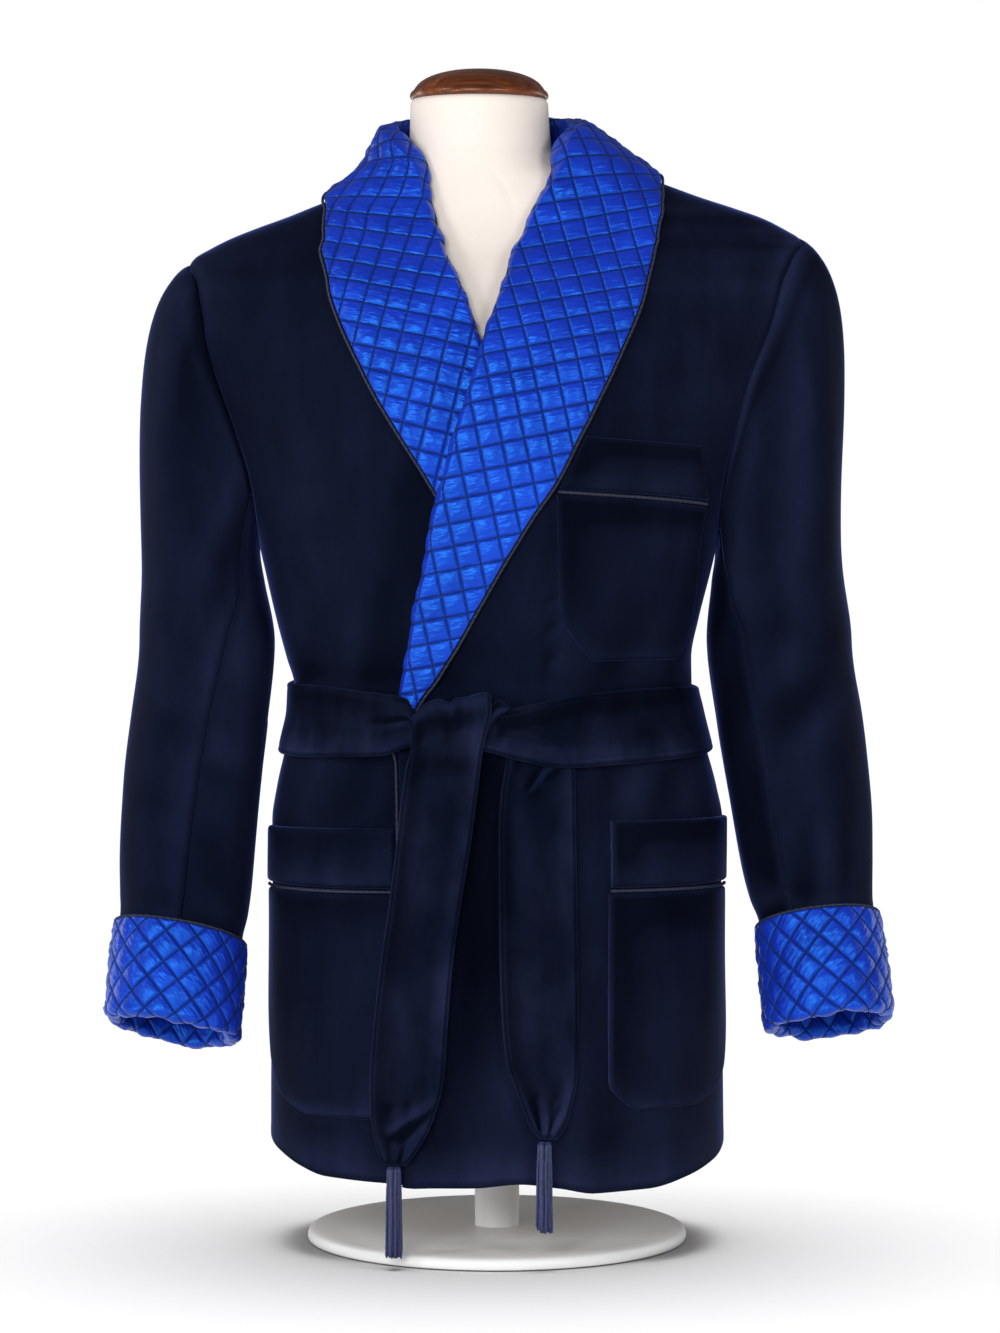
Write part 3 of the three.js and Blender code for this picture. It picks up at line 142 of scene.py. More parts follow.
POCKETS = {
    # rows from the top: zLeftEnd, xLeftEnd, zRightEnd, xRightEnd
    "breast_pocket": ([(588.5, 44.8, 579, 159.5), (544, 45.2, 540, 154.5), (499, 47.5, 505, 153), (478, 58, 479, 148.5), (462, 71.5, 461, 139)],
                      [(632, 64.5, 626, 155), (592.5, 46.5, 584.5, 160.5)], "over", LIE),
    "hip_pocket_left": ([(284, 84.5, 281, 177), (235, 84, 232, 177.6), (188, 83.5, 187, 177.8), (142, 84, 146, 176), (127, 94, 127, 168), (117.5, 108, 118, 154)],
                        [(340, 86, 337, 177), (289, 86.5, 286, 177)], "over", HIP_LIE),
    "hip_pocket_right": ([(280.5, -176.8, 283, -79.5), (235, -177.4, 235, -79.5), (190, -177.4, 188, -79.5), (152, -175, 146, -80), (124, -166, 126, -84), (110.5, -147, 111.5, -93)],
                         [(329.5, -176.3, 334, -78), (285.5, -176.6, 288, -78.5)], "under", HIP_LIE),
}
BAND = [
    (-180, 446, 388, 2), (-120, 444, 386.5, 1.9), (-90, 441.2, 385.5, 1.8), (-60, 442.5, 385, 2),
    (-50, 442, 386, 3), (-44, 441, 386.5, 4.4), (-38, 439.6, 387, 7.8), (-34, 438.4, 387.5, 9.6),
    (-31, 437.9, 388, 10.9), (-29, 437.2, 388.3, 11.4), (-25.5, 436, 391, 11.5), (-24, 435, 393.5, 11.5),
    (-22, 432.6, 395.4, 11.5), (-21, 424, 395.4, 11.5), (-20.2, 416, 395.4, 11.5), (-18, 417.5, 395, 11.5),
    (-14, 421, 394.5, 11.5), (-3.6, 422.6, 393, 11.5), (-1, 423.4, 391.6, 11.5), (4, 425.8, 387, 11.4),
    (8.6, 428.4, 383.9, 11.3), (13, 431, 380.9, 11.2), (20, 435, 379.9, 11.2), (26, 437.2, 380.8, 10.8),
    (34, 438.8, 382, 7), (46, 440.2, 383.6, 3.4), (60, 440.4, 385, 2.2), (90, 437.5, 387.5, 1.8),
    (120, 440, 387.5, 1.9), (180, 446, 388, 2),
]
BAND_START, BAND_SWEEP = -19, 355
KNOT = [
    (-54, 417.5, 406), (-34, 421, 403), (-14, 423, 401), (1, 433.5, 420),
    (5, 431, 422.5), (9.5, 427.5, 425.5),
]
KNOT_OFF, KNOT_T = 16.1, 3.0
FALL_FRONT = [
    (431.5, -60, -5.5, 12.5), (436.2, -60, -5, 14.5), (436.5, -60, -4.5, 19), (432, -59.5, -4, 22),
    (424.7, -59.5, -3.7, 23), (402.1, -60.4, -8.2, 23), (391.5, -62.4, -10.4, 22.5), (371.5, -66.1, -12.8, 18),
    (351.6, -69.4, -15.4, 15.5), (327.6, -72.4, -18.4, 13.3), (274, -78.7, -26.9, 11.8), (226.8, -85, -32.9, 11.4),
    (179.8, -90, -36.4, 11.3), (145, -92.3, -38.7, 11.3), (120.7, -92, -44.6, 11.3), (100.9, -89.6, -52.2, 11.5),
    (90.2, -86.9, -58.5, 12), (79.6, -81.8, -66, 12.4),
]
FALL_TOP = [
    (0, -19), (0.08, -12), (0.16, -8), (0.32, -5.7),
    (0.48, -7), (0.57, -2.6), (0.69, -2.6), (0.9, 0),
    (1, -0.4),
]
FALL_SIDE = [
    (402, 7.8, 57.6, 8.1), (386, 6.8, 57.6, 8.1), (358, 2.7, 58, 9), (328, 1.3, 58.2, 10),
    (281, 1.6, 58.8, 10.4), (236, 2, 59.4, 10.5), (190, 3.8, 59.7, 10.9), (160, 6.9, 59.2, 11.5),
    (141, 13, 57.9, 12), (125, 18.5, 54.5, 12.6), (110, 24.5, 50.2, 13.6), (100.5, 31.4, 43.6, 15),
]
TASSELS = {"front": (-78.2, 78.4), "side": (36, 99)}
TASSEL_LENGTH = 70
FORM = [
    (96, 158, 158, 117, 114, 2.2), (180, 161, 161, 119, 116, 2.2), (280, 160, 160, 117, 113, 2.2), (350, 154, 153, 112, 98, 2.2),
    (427, 143, 139, 107, 84, 2.2), (490, 153, 141, 112, 90, 2.2), (575, 168, 158, 121, 102, 2.25), (645, 178, 173, 121, 107, 2.3),
    (700, 186, 184, 111, 104, 2.3), (741, 187, 188, 94, 95, 2.3), (760, 181, 186, 82, 86, 2.2), (775, 167, 180, 72, 78, 2.15),
    (790, 147, 168, 65, 73, 2.1), (806, 121, 147, 60, 69, 2.05), (820, 99, 119, 57, 66, 2.0), (834, 82, 84, 53, 62, 2.0),
    (848, 72, 52, 50.5, 59, 2.0), (862, 69, 43, 49.5, 58.5, 2.0), (899, 68, 40, 49.5, 58.5, 2.0),
]
CAP_PROFILE = [(0, 0.3), (50, 0.3), (53.6, 1.4), (54.6, 3.4), (54.2, 5.6), (52, 7.4), (51, 9.2), (46, 14.6), (36, 19.6), (22, 22.9), (0, 24.2)]

# Creases, each a soft trough (height under 0) or ridge: start, end, half width, height. For the
# fronts and back x and z in mm; for the sleeves the angle round (0 outer, 90 front, 180 inner)
# times 0.9 mm, and z.
CREASES = {
    "front_left": [
        (45, 560, 42, 452, 3.0, -0.7), (150, 700, 118, 560, 13, -1.2), (168, 640, 150, 520, 10, 1.1), (120, 520, 100, 455, 11, -0.9),
        (60, 380, 66, 250, 12, -1.6), (40, 372, 30, 180, 14, 1.8), (92, 380, 88, 345, 9, -1.4), (118, 382, 112, 342, 8, 1.2),
        (140, 382, 138, 345, 8, -1.2), (150, 455, 155, 500, 9, -1.1), (110, 455, 108, 490, 9, -0.8), (75, 455, 80, 500, 10, 0.8),
        (60, 210, 72, 62, 14, 2.0), (10, 260, -30, 80, 18, -2.6), (-20, 380, -8, 230, 13, -2.2), (92, 110, 100, 60, 16, -1.8),
        (130, 112, 138, 66, 14, 1.2), (-48, 330, -40, 120, 12, 1.2), (175, 600, 185, 690, 9, -1.0), (100, 720, 150, 760, 20, -0.9),
        (130, 790, 190, 770, 16, 0.8), (0, 455, -30, 470, 8, -0.7),
    ],
    "front_right": [
        (-150, 760, -118, 640, 17, -1.6), (-118, 770, -86, 655, 15, 1.5), (-178, 720, -160, 600, 13, -1.3), (-150, 600, -140, 480, 14, 1.0),
        (-110, 640, -96, 500, 15, -1.0), (-86, 560, -80, 455, 12, -1.2), (-118, 520, -122, 455, 10, -1.1), (-146, 500, -150, 455, 9, 1.0),
        (-104, 378, -110, 335, 8, -1.5), (-128, 380, -131, 336, 8, 1.3), (-150, 380, -153, 334, 8, -1.2), (-86, 378, -84, 335, 7, 1.1),
        (-100, 108, -92, 68, 13, 1.6), (-130, 106, -128, 76, 12, -1.4), (-160, 140, -164, 84, 12, 1.0), (-62, 480, -90, 520, 10, -0.8),
        (-190, 690, -205, 740, 12, 1.0), (-120, 560, -128, 600, 12, 0.8),
    ],
    "back": [
        (-120, 740, -60, 640, 20, -1.8), (130, 735, 70, 640, 20, -1.7), (0, 700, -10, 560, 18, -1.0), (-70, 600, -60, 462, 14, 1.6),
        (-95, 560, -100, 458, 12, -1.6), (-40, 540, -46, 456, 12, -1.4), (30, 560, 26, 456, 13, 1.5), (62, 600, 66, 458, 14, -1.7),
        (100, 560, 104, 460, 12, 1.4), (130, 520, 134, 462, 10, -1.3), (-20, 378, -28, 240, 15, 2.2), (-62, 378, -70, 200, 17, -2.6),
        (-110, 378, -122, 220, 15, 2.2), (20, 378, 26, 210, 16, -2.4), (64, 378, 74, 190, 18, 2.4), (112, 378, 124, 230, 15, -2.2),
        (0, 240, 4, 74, 20, 1.8), (-92, 220, -98, 80, 18, 1.7), (100, 220, 106, 80, 18, -1.9), (-150, 360, -158, 200, 13, -1.6), (150, 360, 158, 210, 13, 1.5),
        (-180, 700, -150, 600, 14, 1.4), (182, 705, 154, 600, 14, 1.3), (-30, 830, 40, 826, 9, -0.9), (-80, 800, 90, 796, 14, 0.8),
    ],
    "sleeve_right": [
        (40, 700, 66, 590, 13, -1.8), (0, 640, 30, 520, 14, 1.4), (70, 640, 100, 540, 11, -1.6), (110, 580, 84, 500, 9, 1.5),
        (60, 480, 110, 440, 10, -2.0), (50, 430, 112, 400, 9, 1.6), (70, 396, 120, 372, 8, -1.7), (30, 350, 90, 330, 9, -1.2),
        (86, 330, 100, 262, 7, -1.5), (60, 320, 66, 258, 8, 1.3), (20, 300, 26, 256, 8, -1.2), (-20, 420, 30, 340, 13, 1.2),
        (-90, 640, -60, 520, 16, -1.8), (-110, 480, -60, 430, 11, 1.7), (-120, 420, -60, 380, 10, -1.9), (-70, 340, -50, 264, 10, 1.5),
        (-140, 560, -100, 460, 12, -1.6), (150, 480, 170, 400, 9, 1.3), (-100, 330, -96, 262, 8, -1.4), (130, 420, 140, 300, 9, -1.3),
    ],
    "sleeve_left": [
        (60, 690, 84, 560, 12, -1.9), (30, 640, 52, 500, 14, 1.5), (96, 640, 104, 540, 10, 1.3), (0, 700, 10, 560, 15, -1.2),
        (92, 560, 70, 470, 10, -1.8), (60, 470, 108, 420, 11, 1.8), (48, 440, 100, 380, 10, -2.0), (84, 380, 60, 320, 10, 1.5),
        (30, 380, 50, 280, 10, -1.7), (0, 420, 14, 300, 12, 1.4), (74, 330, 84, 268, 8, -1.6), (100, 320, 104, 270, 7, 1.3),
        (-20, 360, -16, 268, 10, -1.4), (-90, 640, -64, 520, 16, -1.7), (-112, 470, -62, 430, 11, 1.7), (-116, 410, -60, 376, 10, -1.9),
        (-74, 340, -54, 272, 10, 1.5), (-140, 560, -104, 460, 12, 1.6), (150, 500, 172, 400, 9, -1.3), (130, 430, 140, 300, 9, 1.3),
    ],
}


# ------------------------------------------------------------------ small maths
def lerp(a, b, t):
    return a + (b - a) * t


def smooth(a, b, x):
    t = np.clip((np.asarray(x, float) - a) / (b - a), 0, 1)
    return t * t * (3 - 2 * t)


def unit(v):
    return v / np.maximum(np.linalg.norm(v, axis=-1, keepdims=True), 1e-12)


def dot(a, b):
    return (a * b).sum(-1, keepdims=True)


def vec(x, y, z):
    return np.stack(np.broadcast_arrays(np.asarray(x, float), np.asarray(y, float), np.asarray(z, float)), -1)


def curve(rows, xi, yi):
    """Smooth curve through a table's column, with no overshoot between its rows."""
    X, Y = np.array([r[xi] for r in rows], float), np.array([r[yi] for r in rows], float)
    h, n = np.diff(X), len(X)
    d = np.diff(Y) / h
    m = np.zeros(n)
    m[0], m[-1] = d[0], d[-1]
    for i in range(1, n - 1):
        if d[i - 1] * d[i] > 0:
            a, b = 2 * h[i] + h[i - 1], h[i] + 2 * h[i - 1]
            m[i] = (a + b) / (a / d[i - 1] + b / d[i])

    def at(x):
        x = np.asarray(x, float)
        i = np.clip(np.searchsorted(X, x, side="left") - 1, 0, n - 2)
        t = np.clip((x - X[i]) / h[i], 0, 1)
        t2, t3 = t * t, t * t * t
        return Y[i] * (2 * t3 - 3 * t2 + 1) + m[i] * h[i] * (t3 - 2 * t2 + t) + Y[i + 1] * (-2 * t3 + 3 * t2) + m[i + 1] * h[i] * (t3 - t2)
    return at


def by_row(rows, i):
    return curve([(k, r[i]) for k, r in enumerate(rows)], 0, 1)


def hashed(i, j, seed=0.0):
    """A fixed number from 0 to 1 for each whole pair."""
    v = np.sin(np.asarray(i, float) * 127.1 + np.asarray(j, float) * 311.7 + seed * 74.7) * 43758.5453
    return v - np.floor(v)


def wobble(x, y, seed=0.0):
    """Soft uneven waves, about -1 to 1, with no repeat in sight."""
    a, b = np.asarray(x, float), np.asarray(y, float)
    return (np.sin(a * 1.0 + b * 0.37 + seed) + np.sin(a * -0.61 + b * 0.83 + 1.7 * seed + 2.1)
            + np.sin(a * 0.29 - b * 1.31 + 2.9 * seed + 0.6) + np.sin(a * 1.73 + b * 1.13 + 0.7 * seed + 4.0)) / 4


def sections(table):
    col = [curve(table, 0, i) for i in range(1, 6)]

    def at(t, z, grow=0.0):
        t, z = np.broadcast_arrays(np.asarray(t, float), np.asarray(z, float))
        r, l, f, b, n = [c(z) for c in col]
        s, c = np.sin(np.radians(t)), np.cos(np.radians(t))
        k = (np.abs(s) ** n + np.abs(c) ** n) ** (-1 / n)
        return vec((l - r) / 2 + ((r + l) / 2 + grow) * s * k, -np.where(c >= 0, f + grow, b + grow) * c * k, z)
    return at


body_at = sections(BODY)
form_at = sections(FORM)
body_col = [curve(BODY, 0, i) for i in range(1, 6)]


def angle_of_x(x, z):
    r, l, n = body_col[0](z), body_col[1](z), body_col[4](z)
    u = np.minimum(1, np.abs((x - (l - r) / 2) / ((l + r) / 2)))
    return np.sign(x - (l - r) / 2) * np.degrees(np.arctan2(u, (1 - u ** n) ** (1 / n)))


def angle_of_y(y, z, side):
    f, b, n = body_col[2](z), body_col[3](z), body_col[4](z)
    y = np.asarray(y, float)
    v = np.minimum(1, np.abs(y) / np.where(y < 0, f, b))
    u = (1 - v ** n) ** (1 / n)
    return side * np.degrees(np.arctan2(u, np.where(y < 0, v, -v)))


def body_normal(t, z):
    a = body_at(t + 0.6, z) - body_at(t - 0.6, z)
    b = body_at(t, z + 1.5) - body_at(t, z - 1.5)
    return unit(np.cross(a, b))


roll_left_x = curve([(z, x) for z, x in EDGE_LEFT[:-1]] + [(r[1], r[0]) for r in COLLAR_CHEST["left"]], 0, 1)


def raise_at(x, z):
    return RAISE * (1 - smooth(58, 115, x)) * (1 - smooth(690, 765, z)) * smooth(-175, -120, x)


def sink_at(x, z):
    return SINK * smooth(-46, -2, x - roll_left_x(np.minimum(z, 700))) * (1 - smooth(690, 745, z))


def creases(name, x, z, gain=1.0):
    """The listed folds of one panel, plus a very soft unevenness."""
    d = np.zeros(np.broadcast(x, z).shape)
    for x0, z0, x1, z1, w, h in CREASES[name]:
        ax, az = x1 - x0, z1 - z0
        s = ((x - x0) * ax + (z - z0) * az) / (ax * ax + az * az)
        c = np.clip(s, 0, 1)
        bend = 0.12 * w * np.sin(c * 5.0 + x0 * 0.37)
        u = ((x - x0 - c * ax) * az - (z - z0 - c * az) * ax) / math.hypot(ax, az) + bend
        v = (np.clip(-s, 0, None) + np.clip(s - 1, 0, None)) * math.hypot(ax, az)
        d = d + h * (0.55 + 0.45 * np.sin(math.pi * c)) * np.exp(-(u * u) / (2 * w * w) - (v * v) / (2 * (1.3 * w) ** 2))
    return gain * (d + 0.28 * wobble(x / 27, z / 41, 1.3) + 0.16 * wobble(x / 11, z / 15, 4.1))


def relief(t, z, fold):
    """How far the finished cloth leaves the CAD's smooth face, the same for all that lies on a panel."""
    p = body_at(t, z)
    x = p[..., 0]
    name = "back" if fold == "back" else "front_left" if fold == "over" else "front_right"
    d = creases(name, x, z)
    belt = 1 - np.exp(-(((z - 415) / 33) ** 6))
    side = smooth(0.0, 24, np.abs(p[..., 1])) * 0.7 + 0.3
    return np.clip(d, -3.2, 2.6) * belt * side


def on_body(t, z, off, fold, real=True):
    t, z = np.broadcast_arrays(np.asarray(t, float), np.asarray(z, float))
    p, n = body_at(t, z), body_normal(t, z)
    extra = raise_at(p[..., 0], z) if fold == "over" else -sink_at(p[..., 0], z) if fold == "under" else 0.0
    if real and fold:
        extra = extra + relief(t, z, fold)
    return p + n * (np.asarray(off, float) + extra)[..., None]


# ------------------------------------------------------------------ meshes
def stations(length, step, edge=(0.5, 1.3, 2.4)):
    """Shares from 0 to 1 along that length, closer together at both ends."""
    e = [x / length for x in edge]
    mid = np.linspace(e[-1], 1 - e[-1], max(3, int(round(length / step))) + 1)
    return np.concatenate([[0], e[:-1], mid, [1 - x for x in e[:-1]][::-1], [1]])


def grid_normals(g, wrap_u=False, wrap_v=False):
    """Unit normals of a grid (v, u, 3): positive for u to the right and v up, seen from outside."""
    du = np.roll(g, -1, 1) - np.roll(g, 1, 1)
    dv = np.roll(g, -1, 0) - np.roll(g, 1, 0)
    if not wrap_u:
        du[:, 0], du[:, -1] = g[:, 1] - g[:, 0], g[:, -1] - g[:, -2]
    if not wrap_v:
        dv[0], dv[-1] = g[1] - g[0], g[-1] - g[-2]
    return unit(np.cross(du, dv))


def arc(g, axis):
    d = np.linalg.norm(np.diff(g, axis=axis), axis=-1)
    z = np.zeros_like(np.take(d, [0], axis=axis))
    return np.concatenate([z, np.cumsum(d, axis=axis)], axis=axis)


def edge_distance(g):
    """Distance of each point of a grid to the nearest edge of its panel."""
    u, v = arc(g, 1), arc(g, 0)
    return np.minimum(np.minimum(u, u[:, -1:] - u), np.minimum(v, v[-1:] - v))


def cut_of(g):
    """Width, length and area of the flat cut of a smooth grid, in metres."""
    u, v = arc(g, 1), arc(g, 0)
    a = np.linalg.norm(np.cross(g[1:, 1:] - g[:-1, :-1], g[1:, :-1] - g[:-1, 1:]), axis=-1).sum() / 2
    return float(u[:, -1].max()) / 1000, float(v[-1].max()) / 1000, float(a) / 1e6


def make(name, verts, faces, mat, uv=None, mats=None, face_mat=None, repeat=None):
    me = bpy.data.meshes.new(name)
    me.from_pydata(np.asarray(verts, float) / 1000, [], faces)
    me.polygons.foreach_set("use_smooth", np.ones(len(me.polygons), bool))
    for m in (mats or [mat]):
        me.materials.append(m)
    if face_mat is not None:
        me.polygons.foreach_set("material_index", np.asarray(face_mat, np.int32))
    if uv is not None:
        layer = me.uv_layers.new(name="Cloth")
        idx = np.zeros(len(me.loops), np.int32)
        me.loops.foreach_get("vertex_index", idx)
        at = np.asarray(uv, float)[idx]
        if repeat:    # faces that close the round reach from the last column to the first
            at = at.reshape(-1, 4, 2)
            at = np.where(at.max(1, keepdims=True) - at > repeat / 2, at + repeat, at).reshape(-1, 2)
        layer.data.foreach_set("uv", at.astype(np.float32).ravel())
    me.update()
    ob = bpy.data.objects.new(name, me)
    bpy.context.scene.collection.objects.link(ob)
    return ob


def grid_faces(rows, cols, first=0, flip=False, wrap_u=False, wrap_v=False):
    i, j = np.meshgrid(np.arange(rows if wrap_v else rows - 1), np.arange(cols if wrap_u else cols - 1), indexing="ij")
    i2, j2 = (i + 1) % rows, (j + 1) % cols
    q = np.stack([i * cols + j, i * cols + j2, i2 * cols + j2, i2 * cols + j], -1).reshape(-1, 4) + first
    return q[:, ::-1] if flip else q


def blurred(g, r):
    for axis in (0, 1):
        g = np.moveaxis(g, axis, 0)
        p = np.concatenate([np.repeat(g[:1], r, 0), g, np.repeat(g[-1:], r, 0)])
        c = np.concatenate([np.zeros_like(p[:1]), np.cumsum(p, 0)])
        g = np.moveaxis((c[2 * r + 1:] - c[:-2 * r - 1]) / (2 * r + 1), 0, axis)
    return g


def painted_light_of(g, edge, line=None, gain=6.0):
    """Painted light for the pile: a painted sheen along edges, painted highlight and shade on slopes as they face up
    and to the wearer's right or away, and with a line, painted shade in its stitched groove and a painted highlight on
    the lip beside it.
    """
    n = grid_normals(g)
    if (n * (g - g.mean((0, 1)) + [0, 60, 0])).sum() < 0 and n[..., 1].mean() > 0:
        n = -n
    if n[g.shape[0] // 2, g.shape[1] // 2] @ (g[g.shape[0] // 2, g.shape[1] // 2] * [1, 1, 0]) < 0:
        n = -n
    d = edge_distance(g)
    # painted highlight and shade: slopes facing up and to the wearer's right lighter, the others darker
    x = gain * ((n - blurred(n, 9)) @ np.array([-0.62, -0.1, 0.78])) * smooth(1.5, 6, d)
    # then a painted sheen along the edges
    x = np.clip(x, -0.62, 1.5) + edge * np.exp(-((d / 0.95) ** 2))
    if line:
        # painted shade in the stitched groove, painted highlight on the lip beside it
        x = x - 0.55 * np.exp(-(((d - line) / 0.75) ** 2)) + 0.5 * np.exp(-(((d - line - 1.6) / 0.9) ** 2))
    return x


def shell(name, outer, inner, mat, inner_mat=None, uv=None, edge=0.35, line=None, gain=4.6):
    """A closed wall between two grids, wound to face outwards."""
    r, c = outer.shape[:2]
    n = r * c
    faces = [grid_faces(r, c), grid_faces(r, c, n, flip=True)]
    at = lambda i, j: i * c + j
    rim = [at(0, j) for j in range(c - 1)] + [at(i, c - 1) for i in range(r - 1)] + [at(r - 1, j) for j in range(c - 1, 0, -1)] + [at(i, 0) for i in range(r - 1, 0, -1)]
    rim = np.array(rim)
    nxt = np.roll(rim, -1)
    faces.append(np.stack([nxt, rim, rim + n, nxt + n], -1))
    verts = np.concatenate([outer.reshape(-1, 3), inner.reshape(-1, 3)])
    f = np.concatenate(faces)
    a, b, d = verts[f[:, 0]], verts[f[:, 1]], verts[f[:, 2]]
    e = verts[f[:, 3]]
    if (np.einsum("ij,ij->i", a, np.cross(b, d)).sum() + np.einsum("ij,ij->i", a, np.cross(d, e)).sum()) < 0:
        f = f[:, ::-1]
    # painted light for the velvet, carried in the Cloth map's X: edge sets the painted edge sheen, line the painted
    # groove shade, gain the painted slope highlight and shade
    painted_light = painted_light_of(outer, edge, line, gain)
    uv = np.concatenate([np.stack([painted_light, 0 * painted_light], -1).reshape(-1, 2), np.zeros((n, 2))])
    which = np.zeros(len(f), int)
    if inner_mat is not None:
        which[(r - 1) * (c - 1):2 * (r - 1) * (c - 1)] = 1
    return make(name, verts, f, mat, uv, [mat, inner_mat] if inner_mat else None, which if inner_mat else None)


def rounded(dist, radius):
    """1 well inside a panel and falling to 0 at its edge along a quarter circle."""
    k = np.clip(1 - dist / radius, 0, 1)
    return np.sqrt(np.maximum(0, 1 - k * k))


def skin(name, rings, mat, wrap_v=False, uv=None, repeat=None):
    """A closed solid through closed rings (v, u, 3), capped at its two ends if it doesn't run round."""
    m, n = rings.shape[:2]
    verts, faces = rings.reshape(-1, 3), [grid_faces(m, n, wrap_u=True, wrap_v=wrap_v)]
    f = np.concatenate(faces)
    quads = [tuple(q) for q in f]
    if not wrap_v:
        quads += [tuple(range(n))[::-1], tuple(range((m - 1) * n, m * n))]
    a, b, d, e = (verts[f[:, k]] for k in range(4))
    vol = np.einsum("ij,ij->i", a, np.cross(b, d)).sum() + np.einsum("ij,ij->i", a, np.cross(d, e)).sum()
    if vol < 0:
        quads = [q[::-1] for q in quads]
    return make(name, verts, quads, mat, None if uv is None else uv.reshape(-1, 2), repeat=repeat)


def resample(path, step):
    path = np.asarray(path, float)
    s = np.concatenate([[0], np.cumsum(np.linalg.norm(np.diff(path, axis=0), axis=1))])
    n = max(2, int(round(s[-1] / step)) + 1)
    t = np.linspace(0, s[-1], n)
    return np.stack([np.interp(t, s, path[:, i]) for i in range(path.shape[1])], -1), t


def rope(name, path, normal, radius, mats, strands=3, pitch=5.6, sides=5, step=0.9, closed=False):
    """A twisted cord of round strands laid along a path."""
    both = np.concatenate([path, normal], 1)
    if closed:
        both = np.concatenate([both, both[:1]])
    both, s = resample(both, step)
    p, n = both[:, :3], unit(both[:, 3:])
    t = np.gradient(p, axis=0)
    if closed:
        t[0] = t[-1] = unit(p[1] - p[-2])
    t = unit(t)
    n = unit(n - dot(n, t) * t)
    b = np.cross(t, n)
    turns = round(s[-1] / pitch) if closed else s[-1] / pitch
    verts, faces, which, first = [], [], [], 0
    for k in range(strands):
        a = 2 * math.pi * (turns * s / s[-1] + k / strands)
        away = (np.cos(a)[:, None] * n + np.sin(a)[:, None] * b)
        along = unit(np.gradient(p + away * radius * 0.48, axis=0))
        e1 = unit(away - dot(away, along) * along)
        e2 = np.cross(along, e1)
        q = 2 * math.pi * np.arange(sides) / sides
        ring = (p + away * radius * 0.48)[:, None] + radius * 0.55 * (np.cos(q)[None, :, None] * e1[:, None] + np.sin(q)[None, :, None] * e2[:, None])
        m = len(ring)
        f = [tuple(x) for x in grid_faces(m, sides, first, wrap_u=True)]
        f += [tuple(range(first, first + sides))[::-1], tuple(range(first + (m - 1) * sides, first + m * sides))]
        verts.append(ring.reshape(-1, 3))
        faces += f
        which += [k % len(mats)] * len(f)
        first += m * sides
    return make(name, np.concatenate(verts), faces, None, mats=mats, face_mat=which)


def dashes(name, lines, mat, length=STITCH, step=STITCH_STEP, radius=0.33, sink=0.05):
    """Separate stitches along lines of (point, normal) rows: each a small spindle that dips into the cloth."""
    verts, faces, first = [], [], 0
    for line in lines:
        if len(line) < 2:
            continue
        s = np.concatenate([[0], np.cumsum(np.linalg.norm(np.diff(line[:, :3], axis=0), axis=1))])
        if s[-1] < step * 1.2:
            continue
        mid = np.arange(step * 0.5, s[-1] - step * 0.3, step)
        at = lambda u: np.stack([np.interp(u, s, line[:, i]) for i in range(6)], -1)
        a, c, b = at(mid - length / 2), at(mid), at(mid + length / 2)
        n = unit(c[:, 3:])
        w = unit(np.cross(b[:, :3] - a[:, :3], n))
        up = c[:, :3] + n * (radius * 1.1 - sink)
        v = np.stack([a[:, :3] - n * 0.15, up + w * radius, up + n * radius * 0.8, up - w * radius, up - n * radius * 2.2, b[:, :3] - n * 0.15], 1)
        base = first + 6 * np.arange(len(mid))[:, None]
        tri = np.array([[0, 1, 2], [0, 2, 3], [0, 3, 4], [0, 4, 1], [5, 2, 1], [5, 3, 2], [5, 4, 3], [5, 1, 4]])
        faces.append((base[:, None] + tri[None]).reshape(-1, 3))
        verts.append(v.reshape(-1, 3))
        first += 6 * len(mid)
    return make(name, np.concatenate(verts), np.concatenate(faces), mat)


# ------------------------------------------------------------------ materials
def nodes_of(name):
    m = bpy.data.materials.new(name)
    m.use_nodes = True
    t = m.node_tree
    return m, t, t.nodes["Principled BSDF"], t.nodes["Material Output"]


def link(t, a, b):
    t.links.new(a, b)


def add_noise(t, scale, detail=3.0, rough=0.55, stretch=None, coord="Object"):
    tc = t.nodes.new("ShaderNodeTexCoord")
    n = t.nodes.new("ShaderNodeTexNoise")
    n.inputs["Scale"].default_value = scale
    n.inputs["Detail"].default_value = detail
    n.inputs["Roughness"].default_value = rough
    if stretch:
        mp = t.nodes.new("ShaderNodeMapping")
        mp.inputs["Scale"].default_value = stretch
        link(t, tc.outputs[coord], mp.inputs["Vector"])
        link(t, mp.outputs["Vector"], n.inputs["Vector"])
    else:
        link(t, tc.outputs[coord], n.inputs["Vector"])
    return n


def ramp(t, source, stops):
    r = t.nodes.new("ShaderNodeValToRGB")
    link(t, source, r.inputs["Fac"])
    e = r.color_ramp.elements
    e[0].position, e[0].color = stops[0][0], (*stops[0][1], 1)
    e[1].position, e[1].color = stops[-1][0], (*stops[-1][1], 1)
    for pos, col in stops[1:-1]:
        x = e.new(pos)
        x.color = (*col, 1)
    return r


def mix(t, kind, fac, a, b):
    m = t.nodes.new("ShaderNodeMix")
    m.data_type, m.blend_type = "RGBA", kind
    m.inputs["Factor"].default_value = fac
    link(t, a, m.inputs[6])
    link(t, b, m.inputs[7])
    return m


def bump(t, height, strength, distance, onto=None):
    b = t.nodes.new("ShaderNodeBump")
    b.inputs["Strength"].default_value = strength
    b.inputs["Distance"].default_value = distance
    link(t, height, b.inputs["Height"])
    if onto:
        link(t, onto, b.inputs["Normal"])
    return b.outputs["Normal"]


def near_whole(t, value):
    """Distance of a cloth coordinate from the nearest whole number."""
    out = value
    for op, other in (("ADD", 0.5), ("FRACT", 0), ("SUBTRACT", 0.5), ("ABSOLUTE", 0)):
        m = t.nodes.new("ShaderNodeMath")
        m.operation = op
        link(t, out, m.inputs[0])
        m.inputs[1].default_value = other
        out = m.outputs[0]
    return out


